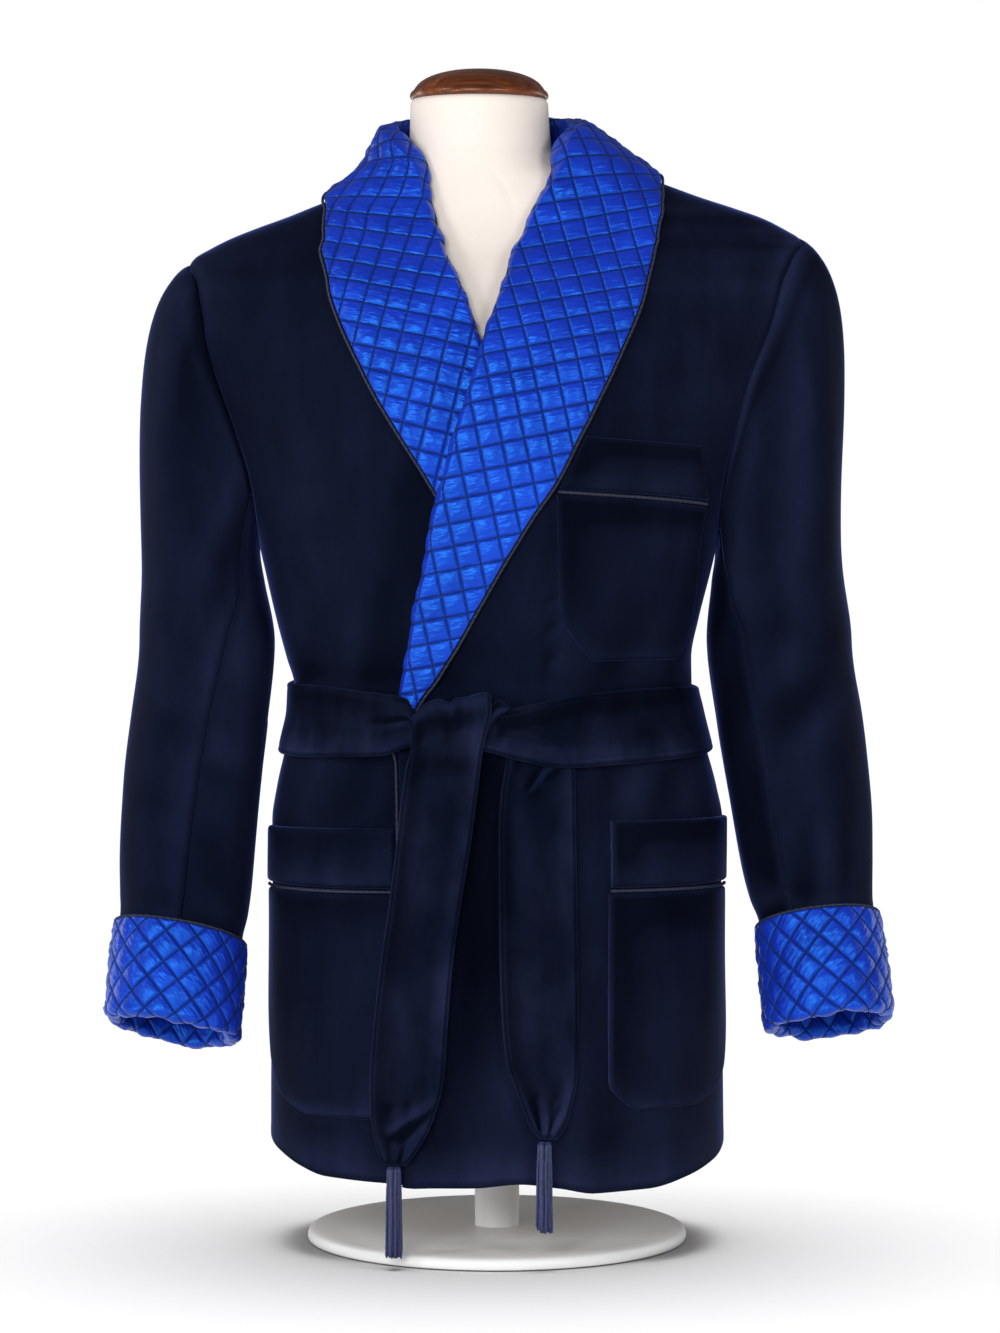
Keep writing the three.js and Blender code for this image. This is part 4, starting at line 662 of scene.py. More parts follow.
def graded(t, value, lo, hi):
    m = t.nodes.new("ShaderNodeMapRange")
    m.interpolation_type = "SMOOTHSTEP"
    link(t, value, m.inputs["Value"])
    m.inputs["From Min"].default_value, m.inputs["From Max"].default_value = lo, hi
    return m.outputs["Result"]


def velvet(name, dark, light, patches=2.6, contrast=(0.36, 0.66), sheen=0.55, tint=(0.16, 0.24, 0.85), painted_shade_boxes=(), rub=0.22):
    m, t, p, out = nodes_of(name)
    big = add_noise(t, patches, 3.0, 0.6, (1.0, 1.0, 0.62))
    lay = add_noise(t, 34, 3.0, 0.6, (1.0, 1.0, 0.35))
    fine = add_noise(t, 1500, 2.0, 0.6)
    a = ramp(t, big.outputs["Fac"], [(contrast[0], dark), (contrast[1], light)])
    b = ramp(t, lay.outputs["Fac"], [(0.3, (1 - rub, 1 - rub, 1 - rub)), (0.7, (1 + rub, 1 + rub, 1 + rub))])
    c = mix(t, "MULTIPLY", 1.0, a.outputs["Color"], b.outputs["Color"])
    d = ramp(t, fine.outputs["Fac"], [(0.25, (0.6, 0.6, 0.6)), (0.75, (1.45, 1.45, 1.45))])
    e = mix(t, "MULTIPLY", 0.7, c.outputs[2], d.outputs["Color"])
    # painted light: the base colour times 1 + the Cloth map's X, which holds the painted edge sheen, slope highlight
    # and shade, and groove shade
    uv, split = t.nodes.new("ShaderNodeUVMap"), t.nodes.new("ShaderNodeSeparateXYZ")
    uv.uv_map = "Cloth"
    link(t, uv.outputs["UV"], split.inputs["Vector"])
    painted_light_scale = t.nodes.new("ShaderNodeVectorMath")
    painted_light_scale.operation = "SCALE"
    more = t.nodes.new("ShaderNodeMath")
    more.operation = "ADD"
    link(t, split.outputs["X"], more.inputs[0])
    more.inputs[1].default_value = 1.0
    link(t, e.outputs[2], painted_light_scale.inputs[0])
    link(t, more.outputs[0], painted_light_scale.inputs["Scale"])
    plain = t.nodes.new("ShaderNodeMix")
    plain.data_type = "RGBA"
    plain.inputs["Factor"].default_value = 0.0
    link(t, painted_light_scale.outputs[0], plain.inputs[6])
    e = plain
    # painted shade: each box in object space darkens the base colour down to its last number
    for x0, x1, x2, x3, z0, z1, z2, z3, least in painted_shade_boxes:
        tc, split = t.nodes.new("ShaderNodeTexCoord"), t.nodes.new("ShaderNodeSeparateXYZ")
        link(t, tc.outputs["Object"], split.inputs["Vector"])
        product = None
        for axis, lo, hi in (("X", x0, x1), ("X", x3, x2), ("Z", z0, z1), ("Z", z3, z2)):
            g = graded(t, split.outputs[axis], lo, hi)
            if product is None:
                product = g
            else:
                mm = t.nodes.new("ShaderNodeMath")
                mm.operation = "MULTIPLY"
                link(t, product, mm.inputs[0])
                link(t, g, mm.inputs[1])
                product = mm.outputs[0]
        e = mix(t, "MULTIPLY", 1.0, e.outputs[2], ramp(t, product, [(0.0, (1, 1, 1)), (1.0, (least, least * 0.95, least * 0.85))]).outputs["Color"])
    link(t, e.outputs[2], p.inputs["Base Color"])
    p.inputs["Roughness"].default_value = 0.86
    p.inputs["Specular IOR Level"].default_value = 0.08
    p.inputs["Specular Tint"].default_value = (0.25, 0.4, 1, 1)
    p.inputs["Sheen Weight"].default_value = sheen
    p.inputs["Sheen Roughness"].default_value = 0.22
    p.inputs["Sheen Tint"].default_value = (*tint, 1)
    n = bump(t, lay.outputs["Fac"], 0.25, 0.0012)
    n = bump(t, fine.outputs["Fac"], 0.35, 0.0004, n)
    link(t, n, p.inputs["Normal"])
    return m


def satin(name, deep, bright, rough=0.34):
    """Satin, sunk along its lines of stitching, with painted shade along them (whole cloth coordinates)."""
    m, t, p, out = nodes_of(name)
    uv, split = t.nodes.new("ShaderNodeUVMap"), t.nodes.new("ShaderNodeSeparateXYZ")
    uv.uv_map = "Cloth"
    link(t, uv.outputs["UV"], split.inputs["Vector"])
    least = t.nodes.new("ShaderNodeMath")
    least.operation = "MINIMUM"
    link(t, near_whole(t, split.outputs["X"]), least.inputs[0])
    link(t, near_whole(t, split.outputs["Y"]), least.inputs[1])
    line, groove = graded(t, least.outputs[0], 0.008, 0.044), graded(t, least.outputs[0], 0.0, 0.12)
    big = add_noise(t, 24, 3.0, 0.6)
    weave = add_noise(t, 900, 2.0, 0.6, (1.0, 1.0, 3.0))
    a = ramp(t, big.outputs["Fac"], [(0.3, deep), (0.7, bright)])
    b = ramp(t, weave.outputs["Fac"], [(0.3, (0.86, 0.86, 0.9)), (0.7, (1.12, 1.12, 1.08))])
    c = mix(t, "MULTIPLY", 1.0, a.outputs["Color"], b.outputs["Color"])
    # painted shade: the base colour darkened along the stitched lines, and less across the wider groove
    dark = ramp(t, line, [(0.0, (0.16, 0.16, 0.20)), (1.0, (1, 1, 1))])
    c = mix(t, "MULTIPLY", 1.0, c.outputs[2], dark.outputs["Color"])
    shade = ramp(t, groove, [(0.0, (0.72, 0.70, 0.76)), (1.0, (1, 1, 1))])
    c = mix(t, "MULTIPLY", 1.0, c.outputs[2], shade.outputs["Color"])
    link(t, c.outputs[2], p.inputs["Base Color"])
    r = ramp(t, add_noise(t, 60, 2.0).outputs["Fac"], [(0.3, (rough - 0.04,) * 3), (0.7, (rough + 0.06,) * 3)])
    dull = ramp(t, line, [(0.0, (0.62,) * 3), (1.0, (0.0,) * 3)])
    link(t, mix(t, "ADD", 1.0, r.outputs["Color"], dull.outputs["Color"]).outputs[2], p.inputs["Roughness"])
    p.inputs["Metallic"].default_value = 0.0
    p.inputs["IOR"].default_value = 1.9
    p.inputs["Specular Tint"].default_value = (0.03, 0.34, 1, 1)
    p.inputs["Sheen Weight"].default_value = 0.05
    p.inputs["Sheen Roughness"].default_value = 0.4
    p.inputs["Sheen Tint"].default_value = (0.25, 0.5, 1, 1)
    # puckers that run slantwise through the squares
    mp, pucker = t.nodes.new("ShaderNodeMapping"), t.nodes.new("ShaderNodeTexNoise")
    mp.inputs["Rotation"].default_value = (0, 0, math.radians(40))
    mp.inputs["Scale"].default_value = (1.1, 5.2, 1)
    link(t, uv.outputs["UV"], mp.inputs["Vector"])
    link(t, mp.outputs["Vector"], pucker.inputs["Vector"])
    pucker.inputs["Scale"].default_value, pucker.inputs["Detail"].default_value = 1.0, 2.5
    crumple = add_noise(t, 170, 2.0, 0.5)
    n = bump(t, pucker.outputs["Fac"], 0.55, 0.0022)
    n = bump(t, crumple.outputs["Fac"], 0.2, 0.0014, n)
    n = bump(t, groove, 0.8, 0.0011, n)
    n = bump(t, weave.outputs["Fac"], 0.12, 0.0003, n)
    link(t, n, p.inputs["Normal"])
    return m


def thread(name, dark, light, rough=0.5, scale=700, sheen=0.3):
    m, t, p, out = nodes_of(name)
    n = add_noise(t, scale, 2.0)
    a = ramp(t, n.outputs["Fac"], [(0.35, dark), (0.68, light)])
    link(t, a.outputs["Color"], p.inputs["Base Color"])
    p.inputs["Roughness"].default_value = rough
    p.inputs["Sheen Weight"].default_value = sheen
    p.inputs["Sheen Tint"].default_value = (0.3, 0.4, 0.9, 1)
    link(t, bump(t, n.outputs["Fac"], 0.3, 0.0003), p.inputs["Normal"])
    return m


M = {
    # the velvet's painted shade box sits between the two hanging sash ends, under the knot
    "velvet": velvet("velvet_navy", (0.0016, 0.0026, 0.0080), (0.0050, 0.0064, 0.0178), contrast=(0.33, 0.68), sheen=0.5,
                     painted_shade_boxes=[(-0.045, -0.02, 0.0, 0.012, 0.10, 0.24, 0.38, 0.40, 0.25)]),
    "sash": velvet("velvet_sash", (0.0013, 0.0021, 0.0064), (0.0052, 0.0066, 0.0178), patches=13.0, contrast=(0.36, 0.68), sheen=0.5, rub=0.42),
    "lining": thread("lining_navy", (0.004, 0.008, 0.03), (0.008, 0.016, 0.06), 0.4, 500, 0.1),
    "satin": satin("satin_royal", (0.0056, 0.0185, 0.29), (0.0084, 0.031, 0.42)),
    "stitch": thread("stitch_navy", (0.0006, 0.001, 0.006), (0.0012, 0.002, 0.014), 0.8, 1200, 0.0),
    "cord_navy": thread("cord_navy", (0.001, 0.0015, 0.004), (0.003, 0.004, 0.010), 0.55, 1400, 0.1),
    "cord_grey": thread("cord_grey", (0.004, 0.0065, 0.026), (0.013, 0.018, 0.060), 0.5, 1400, 0.15),
    "tassel": thread("tassel_blue", (0.0036, 0.0058, 0.034), (0.014, 0.021, 0.10), 0.42, 420, 0.3),
}


def cover_material():
    m, t, p, out = nodes_of("form_cream")
    big = add_noise(t, 5, 3.0)
    weave = add_noise(t, 1300, 2.0)
    a = ramp(t, big.outputs["Fac"], [(0.3, (0.65, 0.58, 0.525)), (0.7, (0.70, 0.635, 0.58))])
    b = ramp(t, weave.outputs["Fac"], [(0.3, (0.94, 0.94, 0.94)), (0.7, (1.03, 1.03, 1.03))])
    link(t, mix(t, "MULTIPLY", 1.0, a.outputs["Color"], b.outputs["Color"]).outputs[2], p.inputs["Base Color"])
    p.inputs["Roughness"].default_value = 0.78
    p.inputs["Specular IOR Level"].default_value = 0.25
    p.inputs["Sheen Weight"].default_value = 0.15
    link(t, bump(t, weave.outputs["Fac"], 0.25, 0.0003), p.inputs["Normal"])
    return m


def wood_material():
    m, t, p, out = nodes_of("wood_dark")
    grain = add_noise(t, 16, 5.0, 0.65, (1.0, 7.0, 7.0))
    pores = add_noise(t, 240, 3.0, 0.6, (0.12, 1.0, 1.0))
    a = ramp(t, grain.outputs["Fac"], [(0.28, (0.038, 0.010, 0.004)), (0.5, (0.115, 0.030, 0.010)), (0.72, (0.24, 0.066, 0.018))])
    b = ramp(t, pores.outputs["Fac"], [(0.35, (0.55, 0.5, 0.5)), (0.6, (1.05, 1.05, 1.05))])
    link(t, mix(t, "MULTIPLY", 0.8, a.outputs["Color"], b.outputs["Color"]).outputs[2], p.inputs["Base Color"])
    r = ramp(t, grain.outputs["Fac"], [(0.3, (0.34,) * 3), (0.7, (0.24,) * 3)])
    link(t, r.outputs["Color"], p.inputs["Roughness"])
    p.inputs["Coat Weight"].default_value = 0.18
    p.inputs["Specular Tint"].default_value = (1, 0.55, 0.35, 1)
    p.inputs["Coat Roughness"].default_value = 0.18
    link(t, bump(t, pores.outputs["Fac"], 0.15, 0.0004), p.inputs["Normal"])
    return m


def paint_material():
    m, t, p, out = nodes_of("paint_white")
    n = add_noise(t, 420, 3.0)
    a = ramp(t, add_noise(t, 7, 2.0).outputs["Fac"], [(0.3, (0.70, 0.70, 0.695)), (0.7, (0.76, 0.76, 0.755))])
    link(t, a.outputs["Color"], p.inputs["Base Color"])
    p.inputs["Roughness"].default_value = 0.42
    link(t, bump(t, n.outputs["Fac"], 0.08, 0.0004), p.inputs["Normal"])
    return m


M["cover"], M["wood"], M["paint"] = cover_material(), wood_material(), paint_material()


# ------------------------------------------------------------------ camera, light, floor (first)
def look_at(ob, target):
    ob.rotation_euler = (Vector(target) - ob.location).to_track_quat("-Z", "Y").to_euler()


def studio():
    scene = bpy.context.scene
    cam = bpy.data.objects.new("camera", bpy.data.cameras.new("camera"))
    scene.collection.objects.link(cam)
    cam.location = (0.0024, -3.2, 0.569)
    cam.data.sensor_fit, cam.data.sensor_height, cam.data.lens = "VERTICAL", 36, 109.4
    cam.data.clip_end = 50
    look_at(cam, (0.0024, 0, 0.4533))
    scene.camera = cam
    scene.view_settings.view_transform = "Standard"
    scene.view_settings.look = "None"

    def area(name, place, target, size, power, color=(1, 1, 1)):
        l = bpy.data.objects.new(name, bpy.data.lights.new(name, "AREA"))
        scene.collection.objects.link(l)
        l.data.shape, l.data.size, l.data.size_y, l.data.energy, l.data.color = "RECTANGLE", size[0], size[1], power, color
        l.location = place
        look_at(l, target)
        return l
    lamps = [
        area("key", (-1.75, -2.2, 0.36), (0.0, 0, 0.50), (0.9, 0.8), 22),
        area("front", (-0.7, -2.9, 1.35), (0, 0, 0.5), (1.2, 1.1), 52),
        area("high_left", (-2.1, -1.1, 2.1), (0, 0, 0.6), (0.6, 0.6), 15),
        area("fill", (1.5, -2.3, 1.2), (0.1, 0, 0.62), (0.9, 0.9), 25),
        area("rim_left", (-1.9, 1.0, 0.8), (0, 0, 0.5), (0.7, 1.6), 8),
        area("rim_right", (1.9, 1.0, 0.8), (0, 0, 0.5), (0.7, 1.6), 6)]
    w = bpy.data.worlds.new("white")
    scene.world = w
    w.use_nodes = True
    wt = w.node_tree
    bg, path, both = wt.nodes["Background"], wt.nodes.new("ShaderNodeLightPath"), wt.nodes.new("ShaderNodeMix")
    both.data_type = "FLOAT"
    both.inputs[2].default_value, both.inputs[3].default_value = 0.13, 1.0
    wt.links.new(path.outputs["Is Camera Ray"], both.inputs[0])
    wt.links.new(both.outputs[0], bg.inputs["Strength"])
    bg.inputs["Color"].default_value = (1, 1, 1, 1)

    me = bpy.data.meshes.new("floor")
    s = 14.0
    me.from_pydata([(-s, -s, -0.0004), (s, -s, -0.0004), (s, s, -0.0004), (-s, s, -0.0004)], [], [(0, 1, 2, 3)])
    floor = bpy.data.objects.new("floor", me)
    scene.collection.objects.link(floor)
    m, t, p, out = nodes_of("floor_white")
    p.inputs["Base Color"].default_value = (0.95, 0.95, 0.95, 1)
    p.inputs["Roughness"].default_value = 1.0
    p.inputs["Specular IOR Level"].default_value = 0.0
    me.materials.append(m)
    # the lamps light the object, and a soft one overhead lights only the floor
    sky = bpy.data.objects.new("overhead", bpy.data.lights.new("overhead", "SUN"))
    scene.collection.objects.link(sky)
    sky.data.energy, sky.data.angle = 3.0, math.radians(36)
    sky.location = (0, 0, 3)
    sky.rotation_euler = (math.radians(-3), 0, 0)
    only = bpy.data.collections.new("floor_only")
    only.objects.link(floor)
    sky.light_linking.receiver_collection = only
    upper = bpy.data.collections.new("all_but_stand")
    upper.objects.link(floor)
    upper.collection_objects[0].light_linking.link_state = "EXCLUDE"
    for lamp in lamps:
        lamp.light_linking.receiver_collection = upper
    return sky, upper


SKY, ALL_BUT_STAND = studio()


# ------------------------------------------------------------------ bookkeeping of pieces
CUTS = {}


def piece(ob, nodes, cut=None):
    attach(ob, "root")
    if nodes:
        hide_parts(*([nodes] if isinstance(nodes, str) else nodes))
    if cut:
        w, l, a = cut
        CUTS[ob.name] = [round(w, 3), round(l, 3), round(a, 4)]
        max(w, 0.01)
        max(l, 0.01)
        min(a, w * l)
    return ob


# ------------------------------------------------------------------ collar rows (needed by the fronts)
def collar_table(side):
    chest = [(float(angle_of_x(rx, rz)), rz, float(angle_of_x(ex, ez)), ez, 0, 0) for rx, rz, ex, ez in COLLAR_CHEST[side]]
    rows = chest + COLLAR_NECK[side]
    a = np.array([body_at(r[0], r[1]) for r in rows])
    e = np.array([body_at(r[2], r[3]) for r in rows])
    run = np.concatenate([[0], np.cumsum((np.linalg.norm(np.diff(a, axis=0), axis=1) + np.linalg.norm(np.diff(e, axis=0), axis=1)) / 2)])
    cols = [curve([(run[k] / run[-1], r[i]) for k, r in enumerate(rows)], 0, 1) for i in range(6)]
    return lambda w: [c(w) for c in cols]


COLLAR = {s: collar_table(s) for s in SIDE}
FOLD = {"left": "over", "right": "under"}


def bend_at(z):
    return smooth(785, 803, z) * (1 - smooth(840, 852, z))


def collar_lie(stand, z):
    return COLLAR_LIE + NECK_LIFT * stand + SHOULDER_LIFT * np.sin(math.pi * stand) + BEND_LIFT * bend_at(z)


# ------------------------------------------------------------------ fronts and back
hem_z = curve(HEM, 0, 1)
ARM_PHI = [180, 157.5, 135, 112.5, 90, 67.5, 45, 22.5, 11.25, 0]
NECK_SHARE = [0, 0.16, 0.31, 0.45, 0.57, 0.68, 0.78, 0.87, 0.94, 1]
UNDERARM_V = 0.6


def along(table, k):
    return np.interp(np.clip(k, 0, 1) * (len(table) - 1), np.arange(len(table)), table)


def armhole_at(side, phi):
    p = np.mod(phi, 360)
    z, y = curve(ARMHOLE, 0, 2 if side == "right" else 3)(p), curve(ARMHOLE, 0, 1)(p)
    return angle_of_y(y, z, SIDE[side]), z


def front_edge(side):
    row, tip = COLLAR[side], [float(x) for x in COLLAR[side](0)]
    edge = EDGE_LEFT if side == "left" else EDGE_RIGHT
    x_at = curve([r for r in edge if r[0] < tip[1]] + [(tip[1], float(body_at(tip[0], tip[1])[0]))], 0, 1)
    W = np.linspace(0, 1, 6001)
    st, sz = row(W)[:2]
    from_, to = W[np.argmax(sz > 546)], W[np.argmax(np.abs(st) > 90 - SEAM_T)]
    x0 = float(x_at(65))
    z0 = float(hem_z(angle_of_x(x0, 65)))
    n = int(np.argmax(sz > 546)) + 2

    def at(v):
        v = np.asarray(v, float)
        z = lerp(z0, 546, np.minimum(v, UNDERARM_V) / UNDERARM_V)
        low = np.where(z < tip[1], angle_of_x(x_at(z), z), np.interp(z, sz[:n], st[:n]))
        w = lerp(from_, to, along(NECK_SHARE, (v - UNDERARM_V) / (1 - UNDERARM_V)))
        ht, hz = row(w)[:2]
        up = v > UNDERARM_V
        return np.where(up, ht, low), np.where(up, hz, z)
    return at


def side_edge(side, hind):
    s = SIDE[side]
    z0, edge = float(hem_z(s * 90)), s * (90 + SEAM_T if hind else 90 - SEAM_T)

    def at(v):
        v = np.asarray(v, float)
        k = np.clip((v - UNDERARM_V) / (1 - UNDERARM_V), 0, 1)
        p = along(ARM_PHI, k)
        t, z = armhole_at(side, np.minimum(360 - p if hind else p, 359.99))
        w = np.maximum(s * t, 90 + SEAM_T) * s if hind else np.minimum(s * t, 90 - SEAM_T) * s
        w = lerp(edge, w, np.minimum(1, np.minimum(k / 0.04, (1 - k) / 0.04)))
        up = v > UNDERARM_V
        return np.where(up, w, edge), np.where(up, z, lerp(z0, 546, np.minimum(v, UNDERARM_V) / UNDERARM_V))
    return at


def coons(bottom, top, start, end, U, V):
    B, T, S, E = [np.stack(f(x)) for f, x in ((bottom, U), (top, U), (start, V), (end, V))]
    c = [B[:, 0], B[:, -1], T[:, 0], T[:, -1]]
    u, v = U[None, None, :], V[None, :, None]
    B, T, S, E = B[:, None, :], T[:, None, :], S[:, :, None], E[:, :, None]
    c = [x[:, None, None] for x in c]
    return lerp(B, T, v) + lerp(S, E, u) - lerp(lerp(c[0], c[1], u), lerp(c[2], c[3], u), v)


def evened(bottom, top, start, end, U, V):
    """The patch between four edges, its inside evened out so that it doesn't fold over beside a corner."""
    cu, cv = np.linspace(0, 1, 61), np.linspace(0, 1, 121)
    out = []
    for fine, coarse in zip(coons(bottom, top, start, end, U, V), coons(bottom, top, start, end, cu, cv)):
        a = np.array(coarse, float)
        for _ in range(5000):
            a[1:-1, 1:-1] = 0.25 * (a[:-2, 1:-1] + a[2:, 1:-1] + a[1:-1, :-2] + a[1:-1, 2:])
        a = a - coarse
        i, j = np.clip((V * 120).astype(int), 0, 119), np.clip((U * 60).astype(int), 0, 59)
        fi, fj = (V * 120 - i)[:, None], (U * 60 - j)[None, :]
        i, j = i[:, None], j[None, :]
        out.append(fine + lerp(lerp(a[i, j], a[i, j + 1], fj), lerp(a[i + 1, j], a[i + 1, j + 1], fj), fi))
    return np.array(out)


def seam_puff(d):
    """Cloth beside a seam: it dips into the seam and swells a little next to it."""
    return 0.22 * np.exp(-(((d - 5) / 3.0) ** 2))


def panel_piece(name, grid, fold, thick, mat, extra=None):
    t, z = grid
    base = on_body(t, z, 0, fold, real=False)
    flat = on_body(t, z, 0, fold)
    n = grid_normals(flat)
    if (n * body_normal(t, z)).sum() < 0:
        n = -n
    d = edge_distance(base)
    off = seam_puff(d) - 0.9 * (1 - rounded(d, 1.6))
    if extra is not None:
        off = off + extra(base, t, z)
    outer = flat + n * off[..., None]
    inner = flat - n * (thick - 0.7 * (1 - rounded(d, 1.6)))[..., None]
    ob = shell(name, outer, inner, mat)
    return piece(ob, name, cut_of(base))


def front_piece(side):
    s, start, end = SIDE[side], front_edge(side), side_edge(side, False)
    a, b, c, d = start(0), end(0), start(1), end(1)
    U, V = stations(250, 4.0), stations(820, 4.2)
    grid = coons(lambda u: (lerp(a[0], b[0], u), hem_z(lerp(a[0], b[0], u))),
                 lambda u: (np.full_like(u, s * (90 - SEAM_T)), lerp(c[1], d[1], u)), start, end, U, V)

    def extra(p, t, z):
        x = p[..., 0]
        if side == "left":   # the dart from the chest down to the waist
            q = smooth(445, 470, z) * (1 - smooth(505, 522, z))
            return -0.9 * np.exp(-(((x - 42.5) / 1.1) ** 2)) * q
        return 0 * x
    return panel_piece("front_" + side, grid, FOLD[side], VELVET, M["velvet"], extra=extra)


def back_piece():
    start, r = side_edge("left", True), side_edge("right", True)
    end = lambda v: (r(v)[0] + 360, r(v)[1])
    tl, tr, nl, nr, sh = float(start(1)[1]), float(end(1)[1]), float(front_edge("left")(1)[1]), float(front_edge("right")(1)[1]), 0.22

    def top(u):
        k = (u - sh) / (1 - 2 * sh)
        t = np.where(u < sh, 90 + SEAM_T, np.where(u > 1 - sh, 270 - SEAM_T, lerp(90 + SEAM_T, 270 - SEAM_T, np.clip(k, 0, 1))))
        z = np.where(u < sh, lerp(tl, nl, u / sh), np.where(u > 1 - sh, lerp(tr, nr, (1 - u) / sh),
                     lerp(lerp(nl, nr, k), 858, np.sin(math.pi * np.clip(k, 0, 1)))))
        return t, z
    bottom = lambda u: (lerp(90 + SEAM_T, 270 - SEAM_T, u), hem_z((lerp(90 + SEAM_T, 270 - SEAM_T, u) + 180) % 360 - 180))
    t, z = evened(bottom, top, start, end, stations(440, 4.6), stations(820, 4.6))
    return panel_piece("back", (t, z), "back", VELVET, M["velvet"])


for side in SIDE:
    front_piece(side)
back_piece()


# ------------------------------------------------------------------ sleeves
RING = {s: [curve(SLEEVE[s][::-1], 0, i) for i in range(1, 7)] for s in SIDE}
HEAD = [curve(SLEEVE_HEAD, 0, i) for i in (1, 2, 3)]


def ring_at(side, z, phi, grow=0.0):
    z, phi = np.broadcast_arrays(np.asarray(z, float), np.asarray(phi, float))
    x, y, w, d, so, sf = [f(z) for f in RING[side]]
    s, n = SIDE[side], 2.15
    c, k = np.cos(np.radians(phi)), np.sin(np.radians(phi))
    m = (np.abs(c) ** n + np.abs(k) ** n) ** (-1 / n)
    o, f = (w + grow) * c * m, (d + grow) * k * m
    return vec(x + s * o, y - f, z + so * o + sf * f)


def sleeve_start(side, phi):
    s, p = SIDE[side], np.mod(phi, 360)
    (t, z), (ta, za), (tb, zb) = armhole_at(side, p), armhole_at(side, p + 1.5), armhole_at(side, p - 1.5)
    A, n, go = body_at(t, z), body_normal(t, z), unit(body_at(ta, za) - body_at(tb, zb))
    mid = body_at(s * 90, 660 if side == "right" else 668)
    into = unit(np.cross(n, go))
    into = np.where(dot(into, mid - A) < 0, -into, into)
    e = unit(vec(s * HEAD[0](p), HEAD[1](p), HEAD[2](p)))
    turn = np.arctan2(dot(e, n), dot(e, into))
    A = A + into * (0.8 + np.maximum(0, -VELVET * np.sin(turn))) + n * (0.45 * np.maximum(0, np.sin(turn)) + np.where(np.cos(turn) < 0, 0.6, 0))
    return A, e


def sleeve_at(side, q, phi):
    q, phi = np.broadcast_arrays(np.asarray(q, float), np.asarray(phi, float))
    fold = CUFF_FOLD[side]
    tube = ring_at(side, lerp(SLEEVE_START, fold, np.clip(q - 1, 0, 1)), phi)
    A, e = sleeve_start(side, phi)
    B = ring_at(side, SLEEVE_START, phi)
    down = ring_at(side, SLEEVE_START - 1, phi) - B
    length = np.linalg.norm(A - B, axis=-1, keepdims=True)
    p = np.mod(phi, 360)
    lead = lerp(0.75, 0.45, np.sin(np.radians(p / 2)))[..., None]
    q1 = np.clip(q, 0, 1)[..., None]
    q2, q3 = q1 * q1, q1 ** 3
    cap = A * (2 * q3 - 3 * q2 + 1) + e * length * lead * (q3 - 2 * q2 + q1) + B * (-2 * q3 + 3 * q2) + down * length * 0.95 * (q3 - q2)
    return np.where((q >= 1)[..., None], tube, cap)


def sleeve_piece(side, part):
    name, fold, top = f"sleeve_{part}_{side}", CUFF_FOLD[side], CUFF_TOP[side]
    fore, hind = curve(SLEEVE_SEAMS, 0, 1 if side == "right" else 2), curve(SLEEVE_SEAMS, 0, 3)
    end = 1 + (SLEEVE_START - fold - 6.8) / (SLEEVE_START - fold)
    q = np.concatenate([stations(240, 4.0)[:-4] * 1.0, 1 + (end - 1) * stations(340, 4.0)[3:]])
    q = np.unique(np.round(q, 6))
    U = stations(230 if part == "top" else 80, 3.8)
    f, h, gap = fore(q), hind(q), 0.16 / 50 * 180 / math.pi
    a, b = (h - 360 + gap, f - gap) if part == "top" else (f + gap, h - gap)
    phi = lerp(a[:, None], b[:, None], U[None, :])
    Q = np.broadcast_to(q[:, None], phi.shape)
    g = sleeve_at(side, Q, phi)
    n = grid_normals(g)
    axis = g.mean(1, keepdims=True)
    c = ring_at(side, lerp(SLEEVE_START, fold, np.clip(Q - 1, 0, 1)), phi, 5) - ring_at(side, lerp(SLEEVE_START, fold, np.clip(Q - 1, 0, 1)), phi, 0)
    if (n * c).sum() < 0:
        n = -n
    d = edge_distance(g)
    round_ = ((phi + 180) % 360 - 180) * 0.9
    fade = smooth(0, 34, arc(g, 0)) * (1 - smooth(end - 0.23, end - 0.17, Q)) * 0.85 + 0.15 * smooth(0, 12, arc(g, 0)) * (1 - smooth(end - 0.23, end - 0.19, Q))
    cr = np.clip(creases("sleeve_" + side, round_, g[..., 2], 1.0), -3.4, 2.2)
    near_body = np.exp(-(((((phi - 180 + 180) % 360) - 180) / 34) ** 2)) * smooth(380, 470, g[..., 2])
    cr = cr * fade * (1 - 0.75 * near_body)
    puff = 1.0 * np.exp(-(((arc(g, 0) - 9) / 7) ** 2)) * np.exp(-((((phi + 180) % 360 - 180) / 100) ** 2))   # the sleeve head's fulness
    outer = g + n * (cr + puff * 0.6 + seam_puff(d) - 0.9 * (1 - rounded(d, 1.6)))[..., None]
    inner = g + n * (cr - VELVET + 0.7 * (1 - rounded(d, 1.6)))[..., None]
    # the seam allowance, turned in under the front and back round the armhole
    A, _ = sleeve_start(side, phi[0])
    ph = np.mod(phi[0], 360)
    (t0, z0), (ta, za), (tb, zb) = armhole_at(side, ph), armhole_at(side, ph + 1.5), armhole_at(side, ph - 1.5)
    P0, nb, go = body_at(t0, z0), body_normal(t0, z0), unit(body_at(ta, za) - body_at(tb, zb))
    into = unit(np.cross(nb, go))
    into = np.where(dot(into, body_at(SIDE[side] * 90, 660 if side == "right" else 668) - A) < 0, -into, into)
    bend = A - nb * (VELVET + 0.9)
    under = P0 - nb * (VELVET + 1.3) - into * 5.0
    for k, share in enumerate((1.0, 0.8, 0.5, 0.2)):
        inner[k] += share * (into * 0.9 - nb * 2.6)
    outer = np.concatenate([under[None], bend[None], outer])
    inner = np.concatenate([(under - nb * 0.9)[None], (bend - nb * 0.9 + into * 0.4)[None], inner])
    ob = shell(name, outer, inner, M["velvet"])
    return piece(ob, name, cut_of(g))


for side in SIDE:
    sleeve_piece(side, "top")
    sleeve_piece(side, "under")


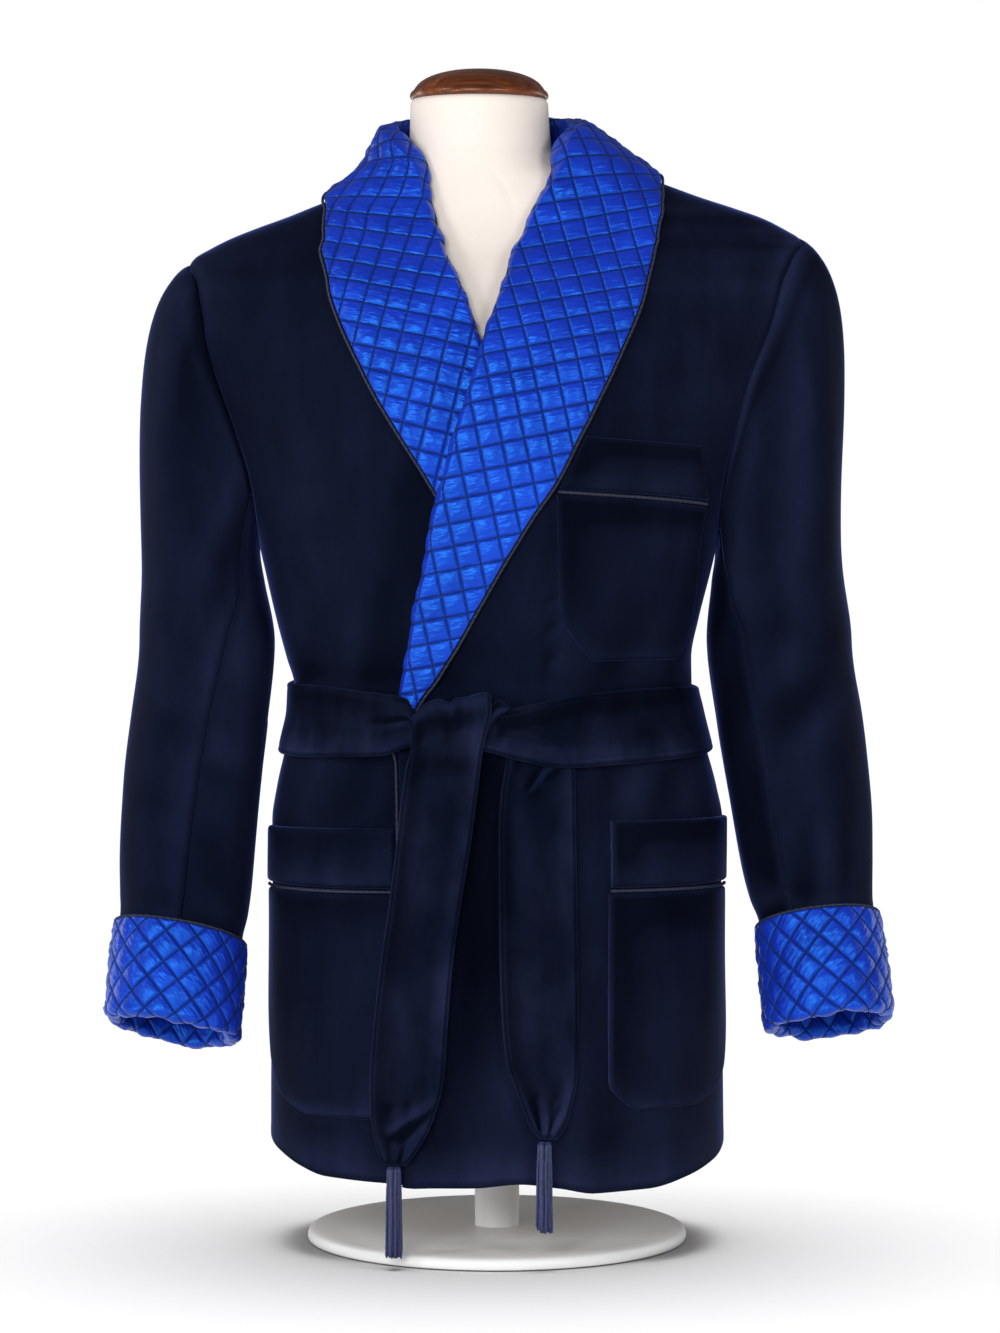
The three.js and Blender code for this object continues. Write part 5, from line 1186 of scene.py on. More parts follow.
# ------------------------------------------------------------------ quilting
def quilt(p, q, seed, pucker=0.4):
    """Height of the quilted cloth from its pattern coordinates in squares, and how deep in a square."""
    fp, fq = p - np.floor(p), q - np.floor(q)
    body = np.abs(np.sin(math.pi * fp) * np.sin(math.pi * fq))
    i, j = np.floor(p), np.floor(q)
    h1, h2, h3 = hashed(i, j, seed), hashed(i, j, seed + 1), hashed(i, j, seed + 2)
    dia = np.where(h3 > 0.22, fp - fq, fp + fq)
    wrinkle = np.sin(2 * math.pi * ((1.3 + 0.9 * h1) * dia + h2) + 1.4 * np.sin(math.pi * (fp + fq)))
    fine = np.sin(2 * math.pi * (3.1 * dia + h1 * 3)) * 0.35
    return PUFF * (0.84 + 0.3 * h2) * (0.52 * body ** 0.34 + 0.48 * body) + pucker * (0.35 + 0.9 * h1) * (wrinkle + fine) * body ** 0.7


def iso_lines(values, points, normals, spacing_phase=0.0):
    """Lines where a pattern coordinate is whole, across the columns of a grid."""
    lo, hi = math.ceil(values.min()), math.floor(values.max())
    lines = []
    for n in range(lo, hi + 1):
        v = values - n
        sign = v[:-1] * v[1:] <= 0
        rows = []
        for j in range(values.shape[1]):
            for i in np.nonzero(sign[:, j])[0][:1]:
                a, b = v[i, j], v[i + 1, j]
                k = 0.5 if abs(a - b) < 1e-9 else a / (a - b)
                rows.append(np.concatenate([lerp(points[i, j], points[i + 1, j], k), lerp(normals[i, j], normals[i + 1, j], k)]))
        if len(rows) > 2:
            rows = np.array(rows)
            jump = np.linalg.norm(np.diff(rows[:, :3], axis=0), axis=1)
            cuts = np.nonzero(jump > 9)[0] + 1
            lines += [x for x in np.split(rows, cuts) if len(x) > 2]
    return lines


def unroll(A, B):
    """Flattens the strip between two lines of points; returns both lines in the plane."""
    a, b = [np.zeros(2)], [np.array([np.linalg.norm(B[0] - A[0]), 0.0])]

    def third(p, q, dp, dq, side):
        v = q - p
        L = max(1e-9, np.linalg.norm(v))
        x = (dp * dp - dq * dq + L * L) / (2 * L)
        y = math.sqrt(max(0.0, dp * dp - x * x))
        e = v / L
        return p + e * x + side * y * np.array([-e[1], e[0]])
    for i in range(1, len(A)):
        na = third(a[-1], b[-1], np.linalg.norm(A[i] - A[i - 1]), np.linalg.norm(A[i] - B[i - 1]), 1)
        nb = third(na, b[-1], np.linalg.norm(B[i] - A[i]), np.linalg.norm(B[i] - B[i - 1]), -1)
        if np.dot(nb - b[-1], na - a[-1]) < 0:
            nb = third(na, b[-1], np.linalg.norm(B[i] - A[i]), np.linalg.norm(B[i] - B[i - 1]), 1)
        a.append(na)
        b.append(nb)
    return np.array(a), np.array(b)


def refine(pts, times=2):
    """Catmull-Rom between points that run along axis 1."""
    for _ in range(times):
        p = np.concatenate([2 * pts[:, :1] - pts[:, 1:2], pts, 2 * pts[:, -1:] - pts[:, -2:-1]], 1)
        mid = (-p[:, :-3] + 9 * p[:, 1:-2] + 9 * p[:, 2:-1] - p[:, 3:]) / 16
        out = np.zeros((pts.shape[0], pts.shape[1] * 2 - 1, 3))
        out[:, ::2], out[:, 1::2] = pts, mid
        pts = out
    return pts


# ------------------------------------------------------------------ collar
QUILT_TURN = {"left": 13.0, "right": -8.0}


def leaf_at(side, w, k, off):
    st, sz, et, ez, rise, stand = [x[:, None] for x in COLLAR[side](w)]
    k = np.asarray(k, float)[None, :]
    t, z = lerp(st, et, k), lerp(sz, ez, k)
    p = on_body(t, z, np.broadcast_to(off[:, None], t.shape), FOLD[side])
    up = unit(vec(0, 0, 1) - 0.1 * body_normal(st, sz))
    return p + up * (rise * (1 - k) ** 1.2)[..., None] + body_normal(t, z) * (5 * stand * np.sin(math.pi * np.maximum(k, 0) ** 0.8))[..., None]


def collar_piece(side):
    name, fold = "collar_" + side, FOLD[side]
    w = 1 - (1 - np.linspace(0, 1, 300)) ** 1.12
    st, sz, et, ez, rise, stand = COLLAR[side](w)
    base = on_body(st, sz, 0, fold)
    level = unit(base * [1, 1, 0] - [NECK_X, NECK_Y, 0])
    k1 = np.minimum(1, stand * 1.5)[:, None]
    n = unit(lerp(body_normal(st, sz), level, k1))
    near = on_body(lerp(st, et, 0.08), lerp(sz, ez, 0.08), 0, fold)
    up = unit(vec(0, 0, 1) - 0.1 * n)
    beyond = unit(lerp(unit(base - near), up, np.minimum(1, stand * 1.4)[:, None]))
    mark = lambda off, far: (base + n * np.broadcast_to(off, w.shape)[:, None] + beyond * np.broadcast_to(far, w.shape)[:, None])[:, None]
    lie, edge, drop = collar_lie(stand, sz), 0.9 + BEND_EDGE * bend_at(sz), 5 * stand
    under, down = np.minimum(1, stand / 0.4), np.clip((stand - 0.4) / 0.6, 0, 1)
    k = 1 - stations(82, 1.75, (0.5, 1.2, 2.2))
    outer = leaf_at(side, w, k, lie + SATIN)
    roll = np.concatenate([
        outer[:, -1:], mark(lerp(0, -1.2, stand), rise + 4.0), mark(-VELVET - lie * under - 1.6 * under, rise + lerp(3.4, 2.4, under)),
        mark(-VELVET - (lie + 2.6) * under, lerp(edge + 2.4, -drop, down))], 1)
    turn = np.concatenate([mark(-VELVET - lie * under, lerp(edge, -drop, down)), mark(lerp(-1.2, -VELVET - lie, under), edge + np.maximum(0, rise - 2))], 1)
    ki = np.linspace(0, 1, 15)
    inner = leaf_at(side, w, ki, lie)
    inner[:, 0] += beyond * lerp(0.8, -1.0, under)[:, None]
    R = refine(np.concatenate([outer[:, -3:-2], roll], 1), 2)[:, 5:]
    ring = np.concatenate([outer, R, turn, inner], 1)
    n_out, n_roll = outer.shape[1], R.shape[1]
    # pattern coordinates: the strip laid flat, then turned as the quilting runs
    A, B = unroll(outer[:, -1], outer[:, 0])
    mid = slice(60, 150)
    d = A[mid][-1] - A[mid][0]
    lean = math.radians(90 - 14.7 if side == "left" else 90 + 22.0)
    rot = lean - math.atan2(d[1], d[0])
    flip = 1
    def turned(P, ang):
        c, s = math.cos(ang), math.sin(ang)
        return np.stack([P[..., 0] * c - P[..., 1] * s, P[..., 0] * s + P[..., 1] * c], -1)
    if side == "right":   # the leaf lies to the left of its roll, so the plane is mirrored first
        A, B = A * [-1, 1], B * [-1, 1]
        d = A[mid][-1] - A[mid][0]
        rot = lean - math.atan2(d[1], d[0])
    A, B = turned(A, rot), turned(B, rot)
    kk = np.concatenate([1 - k, np.ones(0)])
    flat_out = A[:, None] + (B - A)[:, None] * k[None, :, None]
    away = unit(A - B)
    run = np.linalg.norm(np.diff(np.concatenate([outer[:, -1:], R], 1), axis=1), axis=-1).cumsum(1)
    flat_roll = A[:, None] + away[:, None] * run[..., None]
    flat = np.concatenate([flat_out, flat_roll], 1)
    c, s = math.cos(math.radians(QUILT_TURN[side])), math.sin(math.radians(QUILT_TURN[side]))
    P, Q = (flat[..., 0] * c + flat[..., 1] * s) / PITCH, (-flat[..., 0] * s + flat[..., 1] * c) / PITCH
    g = ring[:, :n_out + n_roll]
    nn = grid_normals(g)
    if (nn[:, :n_out] * body_normal(lerp(st[:, None], et[:, None], k[None]), lerp(sz[:, None], ez[:, None], k[None]))).sum() < 0:
        nn = -nn
    width = np.linalg.norm(outer[:, 0] - outer[:, -1], axis=-1)
    dist = arc(outer, 1)
    env = np.concatenate([smooth(0.3, 4.5, dist), np.ones((len(w), n_roll))], 1)
    env[:, n_out:] *= (1 - smooth(0.2, 0.9, np.linspace(0, 1, n_roll)))[None]
    env *= 1 - 0.5 * np.exp(-((arc(g, 1) - width[:, None]) / 7) ** 2)
    env *= smooth(0, 4, arc(g, 0))
    h = quilt(P, Q, 3.0 if side == "left" else 11.0, 0.20 if side == "left" else 0.42) - 0.9
    sunk = 0.9 * (1 - rounded(dist, 2.2))
    sunk = np.concatenate([sunk, np.zeros((len(w), n_roll))], 1)
    g2 = g + nn * (h * env - sunk)[..., None]
    ring = np.concatenate([g2, ring[:, n_out + n_roll:]], 1)
    edge_x = BACK_X + SIDE[side] * SEAM / 2
    pull = smooth(0.94, 1.0, w)[:, None]
    shift = (edge_x - ring[-1:, :, 0]) * pull ** 4
    ring[..., 0] += shift
    if side == "left":
        ring[..., 0] = np.where(w[:, None] > 0.8, np.maximum(ring[..., 0], edge_x), ring[..., 0])
    else:
        ring[..., 0] = np.where(w[:, None] > 0.8, np.minimum(ring[..., 0], edge_x), ring[..., 0])
    lying = np.full((len(w), ring.shape[1] - n_out - n_roll), 0.5)
    cloth = np.stack([np.concatenate([P, lying], 1), np.concatenate([Q, lying], 1)], -1)
    ob = skin(name, ring, M["satin"], uv=cloth)
    visible = slice(0, n_out + int(n_roll * 0.6))
    gv = g2[:, visible]
    gn = grid_normals(gv)
    if (gn * nn[:, visible]).sum() < 0:
        gn = -gn
    lines = iso_lines(P[:, visible], gv, gn) + iso_lines(Q[:, visible], gv, gn)
    st_ob = dashes("stitches_collar_" + side, lines, M["stitch"])
    st_ob.parent = ob
    piece(ob, name, cut_of(outer))
    return ob


for side in SIDE:
    collar_piece(side)


def collar_cord_piece(side):
    fold, r = FOLD[side], CORD_R
    w = np.linspace(1, 0, 240)
    st, sz, et, ez, rise, stand = COLLAR[side](w)
    a, b = on_body(et, ez, 0, fold), on_body(lerp(st, et, 0.9), lerp(sz, ez, 0.9), 0, fold)
    out = body_normal(et, ez)
    go = unit(np.gradient(a, axis=0))
    away = np.cross(out, go)
    away = unit(np.where(dot(away, a - b) < 0, -away, away))
    p = a + out * (collar_lie(stand, sz) + r + 0.1)[:, None] + away * (r + 0.45)
    p[0, 0] = BACK_X + SIDE[side] * SEAM / 2
    n = out
    if side == "left":
        path = [(411.5, -67.2, 3.4), (405.5, -73.2, 3.3), (400, -77.4, 2.2), (393, -77.8, -0.6), (384, 0, -1.1), (350, 0, -1.1), (300, 0, -1.1), (240, 0, -1.1), (180, 0, -1.1), (120, 0, -1.1), (71, 0, -1.1)]
        z = np.array([q[0] for q in path], float)
        x = np.array([q[1] if q[1] else float(roll_left_x(q[0])) - r - 1.1 for q in path])
        off = np.array([q[2] for q in path])
        zz = np.concatenate([np.linspace(411.5, 384, 24)[:-1], np.linspace(384, 71, 90)])
        fx = lambda col: np.interp(-zz, -z, col)
        t = angle_of_x(fx(x), zz)
        p = np.concatenate([p, on_body(t, zz, fx(off), fold)])
        n = np.concatenate([n, body_normal(t, zz)])
    ob = rope("collar_cord_" + side, p, n, r * 0.96, [M["cord_navy"], M["cord_grey"], M["cord_navy"]])
    return piece(ob, "collar_cord_" + side)


for side in SIDE:
    collar_cord_piece(side)


# ------------------------------------------------------------------ cuffs
def cuff_piece(side):
    name, top, fold, g, s = "cuff_" + side, CUFF_TOP[side], CUFF_FOLD[side], 1.5, SATIN - 0.4
    cols = 190
    phi = 360 * np.arange(cols) / cols
    face = [(g + s, top), (g + s + 0.3, (top + fold) / 2), (g + s, fold + 3)]
    turn = [(g + s, fold + 3), ((g + s) / 2 - 2, fold), (-VELVET - g - 2.8, fold + 3)]
    lip = [(-VELVET - g - 2.8, fold + 3), (-VELVET - g - 2.6, fold + CUFF_LIP)]
    back = [(-VELVET - g, fold + CUFF_LIP), (-VELVET - g, fold + 5.6), (g, fold + 5.6), (g, top)]
    def run(rows, n):
        rows = np.array(rows, float)
        k = np.linspace(0, len(rows) - 1, n)
        return np.stack([np.interp(k, np.arange(len(rows)), rows[:, i]) for i in (0, 1)], -1)
    n1, n2, n3, n4 = 44, 9, 14, 10
    bend = np.linspace(0, math.pi, n2)
    width = g + s + VELVET + g + 2.8
    turned = np.stack([(g + s - width / 2) + width / 2 * np.cos(bend), fold + 3 - 4.6 * np.sin(bend)], -1)
    sec = np.concatenate([run(face, n1)[:-1], turned, run(lip, n3)[1:], run(back, n4)])
    off, z = sec[:, 0][None], sec[:, 1][None]
    grid = ring_at(side, z, phi[:, None], off)
    vis = n1 + n2 + n3 - 2
    # cloth coordinates: round the cuff, and down its face and on inside
    down = np.concatenate([[0], np.cumsum(np.linalg.norm(np.diff(grid[0], axis=0), axis=-1))])
    ringlen = np.linalg.norm(np.diff(np.concatenate([grid[:, 10], grid[:1, 10]]), axis=0), axis=-1)
    around = np.concatenate([[0], np.cumsum(ringlen)])[:-1]
    total = ringlen.sum()
    pitch2 = total / round(total / (PITCH * math.sqrt(2)))     # the diagonal, so that the squares meet all round
    U = around[:, None] / pitch2 + 0.3
    Vv = down[None, :] / (PITCH * math.sqrt(2)) + 0.18
    P, Q = U + Vv, U - Vv
    gv = grid[:, :vis]
    nn = grid_normals(grid, wrap_v=True)[:, :vis]
    mid = grid.mean(0, keepdims=True)[:, :vis]
    ref = gv - mid
    if (nn[:, :n1] * ref[:, :n1]).sum() < 0:
        nn = -nn
    env = smooth(0.5, 4.0, down[:vis])[None] * (1 - smooth(0.86, 1, np.arange(vis) / (vis - 1)))[None]
    seed = 21.0 if side == "right" else 33.0
    h = quilt(P[:, :vis], Q[:, :vis], seed, 0.38) - 0.75
    rad_ = np.radians(phi)[:, None]
    wav = 1.3 * np.sin(2 * rad_ + (0.6 if side == "left" else 2.0)) + 0.9 * np.sin(5 * rad_ + 1.0) + 0.6 * np.sin(9 * rad_ + 2.2)
    low = np.exp(-(((down[None, :vis] - down[n1 + 3]) / 17) ** 2))
    gv = gv + nn * (h * env)[..., None]
    gv[..., 2] += (wav * low * 0.9)
    pleat = 1.0 * np.sin(13 * rad_ + 1.5 * np.sin(3 * rad_)) * np.exp(-(((down[None, :vis] - down[n1 + n2 + 6]) / 9) ** 2))
    gv = gv + nn * pleat[..., None]
    grid = np.concatenate([gv, grid[:, vis:]], 1)
    cloth = np.stack(np.broadcast_arrays(P, Q), -1)
    ob = skin(name, grid, M["satin"], wrap_v=True, uv=cloth, repeat=total / pitch2)
    gn = grid_normals(gv, wrap_v=True)
    if (gn * nn).sum() < 0:
        gn = -gn
    m = slice(1, n1 + 4)
    closed = lambda q, add=0: np.concatenate([q, q[:1] + add], 0)
    PP, QQ = closed(P[:, :vis], total / pitch2), closed(Q[:, :vis], total / pitch2)
    lines = iso_lines(PP[:, m], closed(gv)[:, m], closed(gn)[:, m]) + iso_lines(QQ[:, m], closed(gv)[:, m], closed(gn)[:, m])
    st_ob = dashes("stitches_cuff_" + side, lines, M["stitch"])
    st_ob.parent = ob
    strip = np.concatenate([grid[:, :vis], grid[:1, :vis]])
    w_, l_, a_ = cut_of(ring_at(side, z[:, :vis], np.append(phi, 360)[:, None], off[:, :vis]))
    piece(ob, name, (w_, l_, min(a_, w_ * l_)))


def cuff_cord_piece(side):
    r, phi = CUFF_CORD_R, 360 * np.arange(160) / 160
    p = ring_at(side, CUFF_TOP[side] + r + 0.1, phi, LIE + 2.2)
    n = unit(ring_at(side, CUFF_TOP[side], phi, 9) - ring_at(side, CUFF_TOP[side], phi, 0))
    ob = rope("cuff_cord_" + side, p, n, r, [M["cord_navy"], M["cord_grey"], M["cord_navy"]], closed=True)
    piece(ob, "cuff_cord_" + side)


for side in SIDE:
    cuff_piece(side)
    cuff_cord_piece(side)


# ------------------------------------------------------------------ pockets
def patch_grid(table, nv, nu):
    f = [by_row(table, i) if len(table) > 2 else (lambda i: lambda k: lerp(table[0][i], table[1][i], k))(i) for i in range(4)]
    k = (len(table) - 1) * nv
    za, xa, zb, xb = [np.asarray(g(k), float)[:, None] for g in f]
    ta, tb = angle_of_x(xa, za), angle_of_x(xb, zb)
    return lerp(ta, tb, nu[None]), lerp(za, zb, nu[None])


def lying_piece(name, t, z, fold, lie, thick, mat, puff=0.0, groove=None, mask=1.0, edge=2.0):
    base = on_body(t, z, lie, fold, real=False)
    d = edge_distance(base)
    low = on_body(t, z, 0.15, fold)
    n = grid_normals(low)
    if (n * body_normal(t, z)).sum() < 0:
        n = -n
    high = (lie + thick) * (0.25 + 0.75 * rounded(d, 3.2)) - 0.35 + puff * np.exp(-(((d - 9) / 8) ** 2))
    if groove is not None:
        high = high - 0.45 * np.exp(-(((d - groove) / 0.7) ** 2))
    x = base[..., 0]
    high = high + 0.25 * wobble(x / 13 + 5, z / 17, 7.7) * smooth(2, 12, d)
    outer = low + n * high[..., None]
    inner = low
    # edge and gain: strength of the painted sheen along the pocket edges and of the painted slope light
    ob = shell(name, outer, inner, mat, edge=edge, gain=3.0)
    return piece(ob, name, cut_of(base))


for name, (lower, band, fold, lie) in POCKETS.items():
    t, z = patch_grid(lower, stations(165, 3.0), stations(105, 3.0))
    lying_piece(name, t, z, fold, lie, PATCH, M["velvet"], 0.25)
    t, z = patch_grid(band, stations(48, 2.4), stations(105, 2.6))
    lying_piece(name + "_band", t, z, fold, lie, PATCH_BAND, M["velvet"], 0.3, edge=2.8)
    a, b, k = band[1], lower[0], np.linspace(0, 1, 70)
    zz = (lerp(a[0], a[2], k) + lerp(b[0], b[2], k)) / 2
    tt = lerp(angle_of_x((a[1] + b[1]) / 2, a[0]), angle_of_x((a[3] + b[3]) / 2, a[2]), k)
    ob = rope(name + "_cord", on_body(tt, zz, lie + CORD_R - 0.2, fold), body_normal(tt, zz), CORD_R * 1.05, [M["cord_navy"], M["cord_grey"], M["cord_navy"]])
    piece(ob, name + "_cord")


# ------------------------------------------------------------------ sash
def sash_band_piece():
    top, bottom, off = [curve(BAND, 0, i) for i in (1, 2, 3)]
    U, V = stations(930, 3.4), stations(56, 2.2)
    t = (BAND_START - BAND_SWEEP * U + 180) % 360 - 180
    T = np.broadcast_to(t[None], (len(V), len(t)))
    z = lerp(bottom(t)[None], top(t)[None], V[:, None])
    o = np.broadcast_to(off(t)[None], z.shape)
    base = on_body(T, z, o, None)
    n = grid_normals(base)
    if (n * body_normal(T, z)).sum() < 0:
        n = -n
    d = edge_distance(base)
    x, v = base[..., 0], V[:, None]
    front = smooth(20, -60, base[..., 1])
    # folds that gather towards the knot, and slack ones round the rest
    l, r = smooth(-110, -52, x) * (x < -29), (1 - smooth(14, 78, x)) * (x > 4)
    cr = l * (1.5 * np.sin(7.5 * v + 0.05 * x) - 1.2 * np.exp(-(((v - 0.50 - (x + 92) * 0.0022) / 0.07) ** 2)) * smooth(-104, -88, x) * 2.0)
    cr = cr + r * (1.4 * np.sin(6.3 * v + 1.0 + 0.03 * x) - 1.3 * np.exp(-(((v - 0.35 + (x - 40) * 0.004) / 0.08) ** 2)))
    cr = cr + 0.55 * wobble(x / 15, z / 13, 2.2) + 0.4 * wobble(x / 34 + base[..., 1] / 30, z / 21, 5.2)
    cr = np.clip(cr, -1.6, 1.9) * front + (0.5 * wobble(x / 18, z / 15, 9.0)) * (1 - front)
    line = -0.3 * np.exp(-(((d - 4.5) / 0.6) ** 2))
    outer = base + n * (SASH * (0.5 + 0.5 * rounded(d, 3.0)) + cr * smooth(0, 6, d) + line)[..., None]
    inner = base + n * (0.5 * SASH * (1 - rounded(d, 3.0)) + 0.1)[..., None]
    # edge, line and gain set the painted edge sheen, the painted shade in the topstitch groove and the painted slope
    # light
    ob = shell("belt_band", outer, inner, M["sash"], edge=2.2, line=4.0, gain=5.0)
    piece(ob, "belt_band", cut_of(base))


def knot_piece():
    f = [by_row(KNOT, i) for i in (0, 1, 2)]
    U, V = stations(66, 1.6), stations(30, 1.6)
    k = (len(KNOT) - 1) * U
    x, top, bottom = [g(k)[None] for g in f]
    z = lerp(bottom, top, V[:, None])
    t = angle_of_x(np.broadcast_to(x, z.shape), z)
    base = on_body(t, z, KNOT_OFF, None)
    n = body_normal(t, z)
    d = edge_distance(base)
    X = np.broadcast_to(x, z.shape)
    cr = 0.9 * np.sin(z / 5.0 + X / 9.0) * smooth(-12, 0, X)
    outer = base + n * (KNOT_T * (0.4 + 0.6 * rounded(d, 3)) + cr * smooth(0, 4, d))[..., None]
    inner = base + n * (0.4 * KNOT_T * (1 - rounded(d, 3)))[..., None]
    # edge and gain set the painted edge sheen and the painted slope light
    ob = shell("belt_knot", outer, inner, M["sash"], edge=1.4, gain=7.0)
    piece(ob, "belt_knot", cut_of(base))


def fall_piece(name, table, lift, marks, pinch):
    f = [by_row(table, i) for i in range(4)]
    rows = len(table)
    lift_at = curve(lift, 0, 1) if lift else (lambda u: np.zeros_like(u))
    k0 = np.linspace(0, rows - 1, 900)
    z0 = f[0](k0)
    c0 = on_body(angle_of_x((f[1](k0) + f[2](k0)) / 2, z0), z0, f[3](k0), None)
    run = np.concatenate([[0], np.cumsum(np.linalg.norm(np.diff(c0, axis=0), axis=1))])
    V = np.interp(stations(run[-1], 2.6) * run[-1], run, k0)
    U = stations(62, 2.0)

    def at(k, u):
        z, xa, xb, off = [g(k) for g in f]
        zz = z + lift_at(u) * np.where(k <= 4, 1, smooth(372, 424.7, z)) if lift else z
        return on_body(angle_of_x(lerp(xa, xb, u), zz), zz, off, None)
    K, UU = np.meshgrid(V, U, indexing="ij")
    base = at(K, UU)
    n = grid_normals(base)
    a = at(np.minimum(rows - 1, K + 0.25), UU) - at(np.maximum(0, K - 0.25), UU)
    b = at(K, np.minimum(1, UU + 0.1)) - at(K, np.maximum(0, UU - 0.1))
    ref = unit(np.cross(a, b))
    n = np.where((n * ref).sum(-1, keepdims=True) < 0, -n, n)
    if n[len(V) // 2, len(U) // 2, 1] > 0:
        n = -n
    d = edge_distance(base)
    x, z = base[..., 0], base[..., 2]
    cr = 0.35 * wobble(x / 14, z / 26, 6.0)
    for x0, z0, x1, z1, w, h in marks:
        ax, az = x1 - x0, z1 - z0
        s = np.clip(((x - x0) * ax + (z - z0) * az) / (ax * ax + az * az), 0, 1)
        q = (x - x0 - s * ax) ** 2 + (z - z0 - s * az) ** 2
        cr = cr + h * np.exp(-q / (2 * w * w))
    tipz, tipx = pinch
    near = np.exp(-((z - tipz) / 26) ** 2)
    ang = np.arctan2(x - tipx, z - tipz + 14)
    cr = cr + near * 1.3 * np.sin(ang * 15 + 0.8) * smooth(0, 8, z - tipz + 4)
    line = -0.35 * np.exp(-(((d - 3.2) / 0.55) ** 2)) * smooth(tipz + 20, tipz + 50, z)
    half = SASH / 2 - 0.1
    body = half * (0.15 + 0.85 * rounded(d, 2.8))
    outer = base + n * (body + cr * smooth(0, 6, d) + line)[..., None]
    inner = base + n * (-body + cr * smooth(0, 6, d))[..., None]
    # edge, line and gain set the painted edge sheen, the painted shade in the topstitch groove and the painted slope
    # light
    ob = shell(name, outer, inner, M["sash"], edge=2.8, line=2.9, gain=4.5)
    piece(ob, name, cut_of(base))
    return ob


def tassel_piece(which, table, count):
    x0, z0 = TASSELS[which]
    last = table[-1]
    y0 = float(on_body(angle_of_x(x0, last[0]), last[0], last[3], None)[1])
    verts, faces, first = [], [], 0

    def tube(path, radii, sides=5):
        nonlocal first
        path = np.asarray(path, float)
        t = unit(np.gradient(path, axis=0))
        e1 = unit(np.cross(t, [0.3, 1, 0.1]))
        e2 = np.cross(t, e1)
        q = 2 * math.pi * np.arange(sides) / sides
        ring = path[:, None] + np.asarray(radii)[:, None, None] * (np.cos(q)[None, :, None] * e1[:, None] + np.sin(q)[None, :, None] * e2[:, None])
        f = [tuple(v) for v in grid_faces(len(path), sides, first, wrap_u=True)]
        f += [tuple(range(first, first + sides))[::-1], tuple(range(first + (len(path) - 1) * sides, first + len(path) * sides))]
        verts.append(ring.reshape(-1, 3))
        faces.extend(f)
        first += ring.shape[0] * sides
    L = TASSEL_LENGTH
    # strands side by side, gathered in two small bunches where they leave the sash end
    for k in range(count):
        h1, h2, h3, h4 = (float(hashed(k, s, 5.0 if which == "front" else 9.0)) for s in (1, 2, 3, 4))
        ang, rr = 2.399963 * k, math.sqrt((k + 0.5) / count)
        s = np.linspace(0, 1, 27)
        r = rr * (5.1 + 1.3 * s ** 0.8)
        wave = 0.30 * np.sin(s * (5 + 4 * h1) + 6.3 * h2) * s
        px = x0 + r * math.cos(ang) + wave * math.cos(ang + 1.3)
        py = y0 + r * math.sin(ang) + wave * math.sin(ang + 1.3)
        bunch = x0 - 2.6 if math.cos(ang) * rr < 0.18 else x0 + 3.6
        px = lerp(px, bunch + (px - bunch) * 0.8, 1 - smooth(0.1, 0.3, s))
        pz = z0 - 0.4 - (L - 0.8 - 4.6 * h3 ** 2) * s
        twist = 1 + 0.10 * np.sin(s * 70 + 6 * h4)
        rad = (1.02 + 0.22 * h4) * twist
        rad[0] *= 0.5
        rad[-1] *= 0.6
        tube(vec(px, py, pz), rad, 6)
    ob = make("tassel_" + which, np.concatenate(verts), faces, M["tassel"])
    return piece(ob, "tassel_" + which)


ta = tassel_piece("front", FALL_FRONT, 30)
tb = tassel_piece("side", FALL_SIDE, 30)
sash_band_piece()
knot_piece()
# marks on the ends of the sash: x, z to x, z, half width, height
fall_piece("belt_end_front", FALL_FRONT, FALL_TOP,
           [(-60, 424, -54, 404, 2.6, -1.0), (-45, 431, -40, 405, 3.4, 0.8), (-28, 434, -26, 412, 3.0, -0.8), (-12, 432, -12, 408, 3.0, 0.7),
            (-79, 104, -51, 123, 3.0, 2.3), (-74, 96, -58, 108, 3.0, -1.2), (-80, 120, -70, 92, 3.0, -1.4), (-60, 100, -66, 125, 2.6, -0.9), (-30, 360, -40, 250, 8, 0.5), (-62, 330, -70, 220, 8, -0.5)],
           (80, -76))
fall_piece("belt_end_side", FALL_SIDE, None,
           [(36, 381, 25, 366, 1.8, -1.9), (25, 366, 12, 384, 3.6, 1.6), (44, 381, 36, 376, 3, 1.2), (40, 384, 52, 360, 5, 0.7), (22, 360, 20, 250, 7, 0.5), (46, 330, 44, 220, 7, -0.5),
            (30, 130, 36, 108, 2.4, -1.2), (46, 126, 40, 106, 2.2, 0.9), (22, 128, 32, 112, 2.2, 0.8)],
           (103.5, 36.5))


# ------------------------------------------------------------------ form, cap and stand
def form_piece():
    z = np.concatenate([np.linspace(96, 620, 90), np.linspace(624, NECK_TOP, 90)])
    t = 360 * np.arange(200) / 200
    T, Z = np.meshgrid(t, z)
    g = form_at(T, Z)
    n = grid_normals(g, wrap_u=True)
    if (n[90] * (g[90] - g[90].mean(0))).sum() < 0:
        n = -n
    seams = 0
    for c in (0.0, 180.0, 52.0, 308.0, 128.0, 232.0):
        dd = np.abs((T - c + 180) % 360 - 180) * math.pi / 180 * np.linalg.norm(g[..., :2], axis=-1)
        seams = seams - 0.5 * np.exp(-((dd / 1.3) ** 2)) * (1 - smooth(840, 856, Z))
    neck = -0.7 * np.exp(-(((Z - 858) / 1.6) ** 2))
    rim = -3.5 * (1 - rounded(np.minimum(Z - 96, 50), 4)) - 1.6 * (1 - rounded(np.minimum(NECK_TOP - Z, 50), 2.4))
    g = g + n * (seams + neck + rim)[..., None]
    g[..., 2] = np.clip(g[..., 2], 96, NECK_TOP)
    ob = skin("form_torso", g, M["cover"])
    piece(ob, "form_torso")


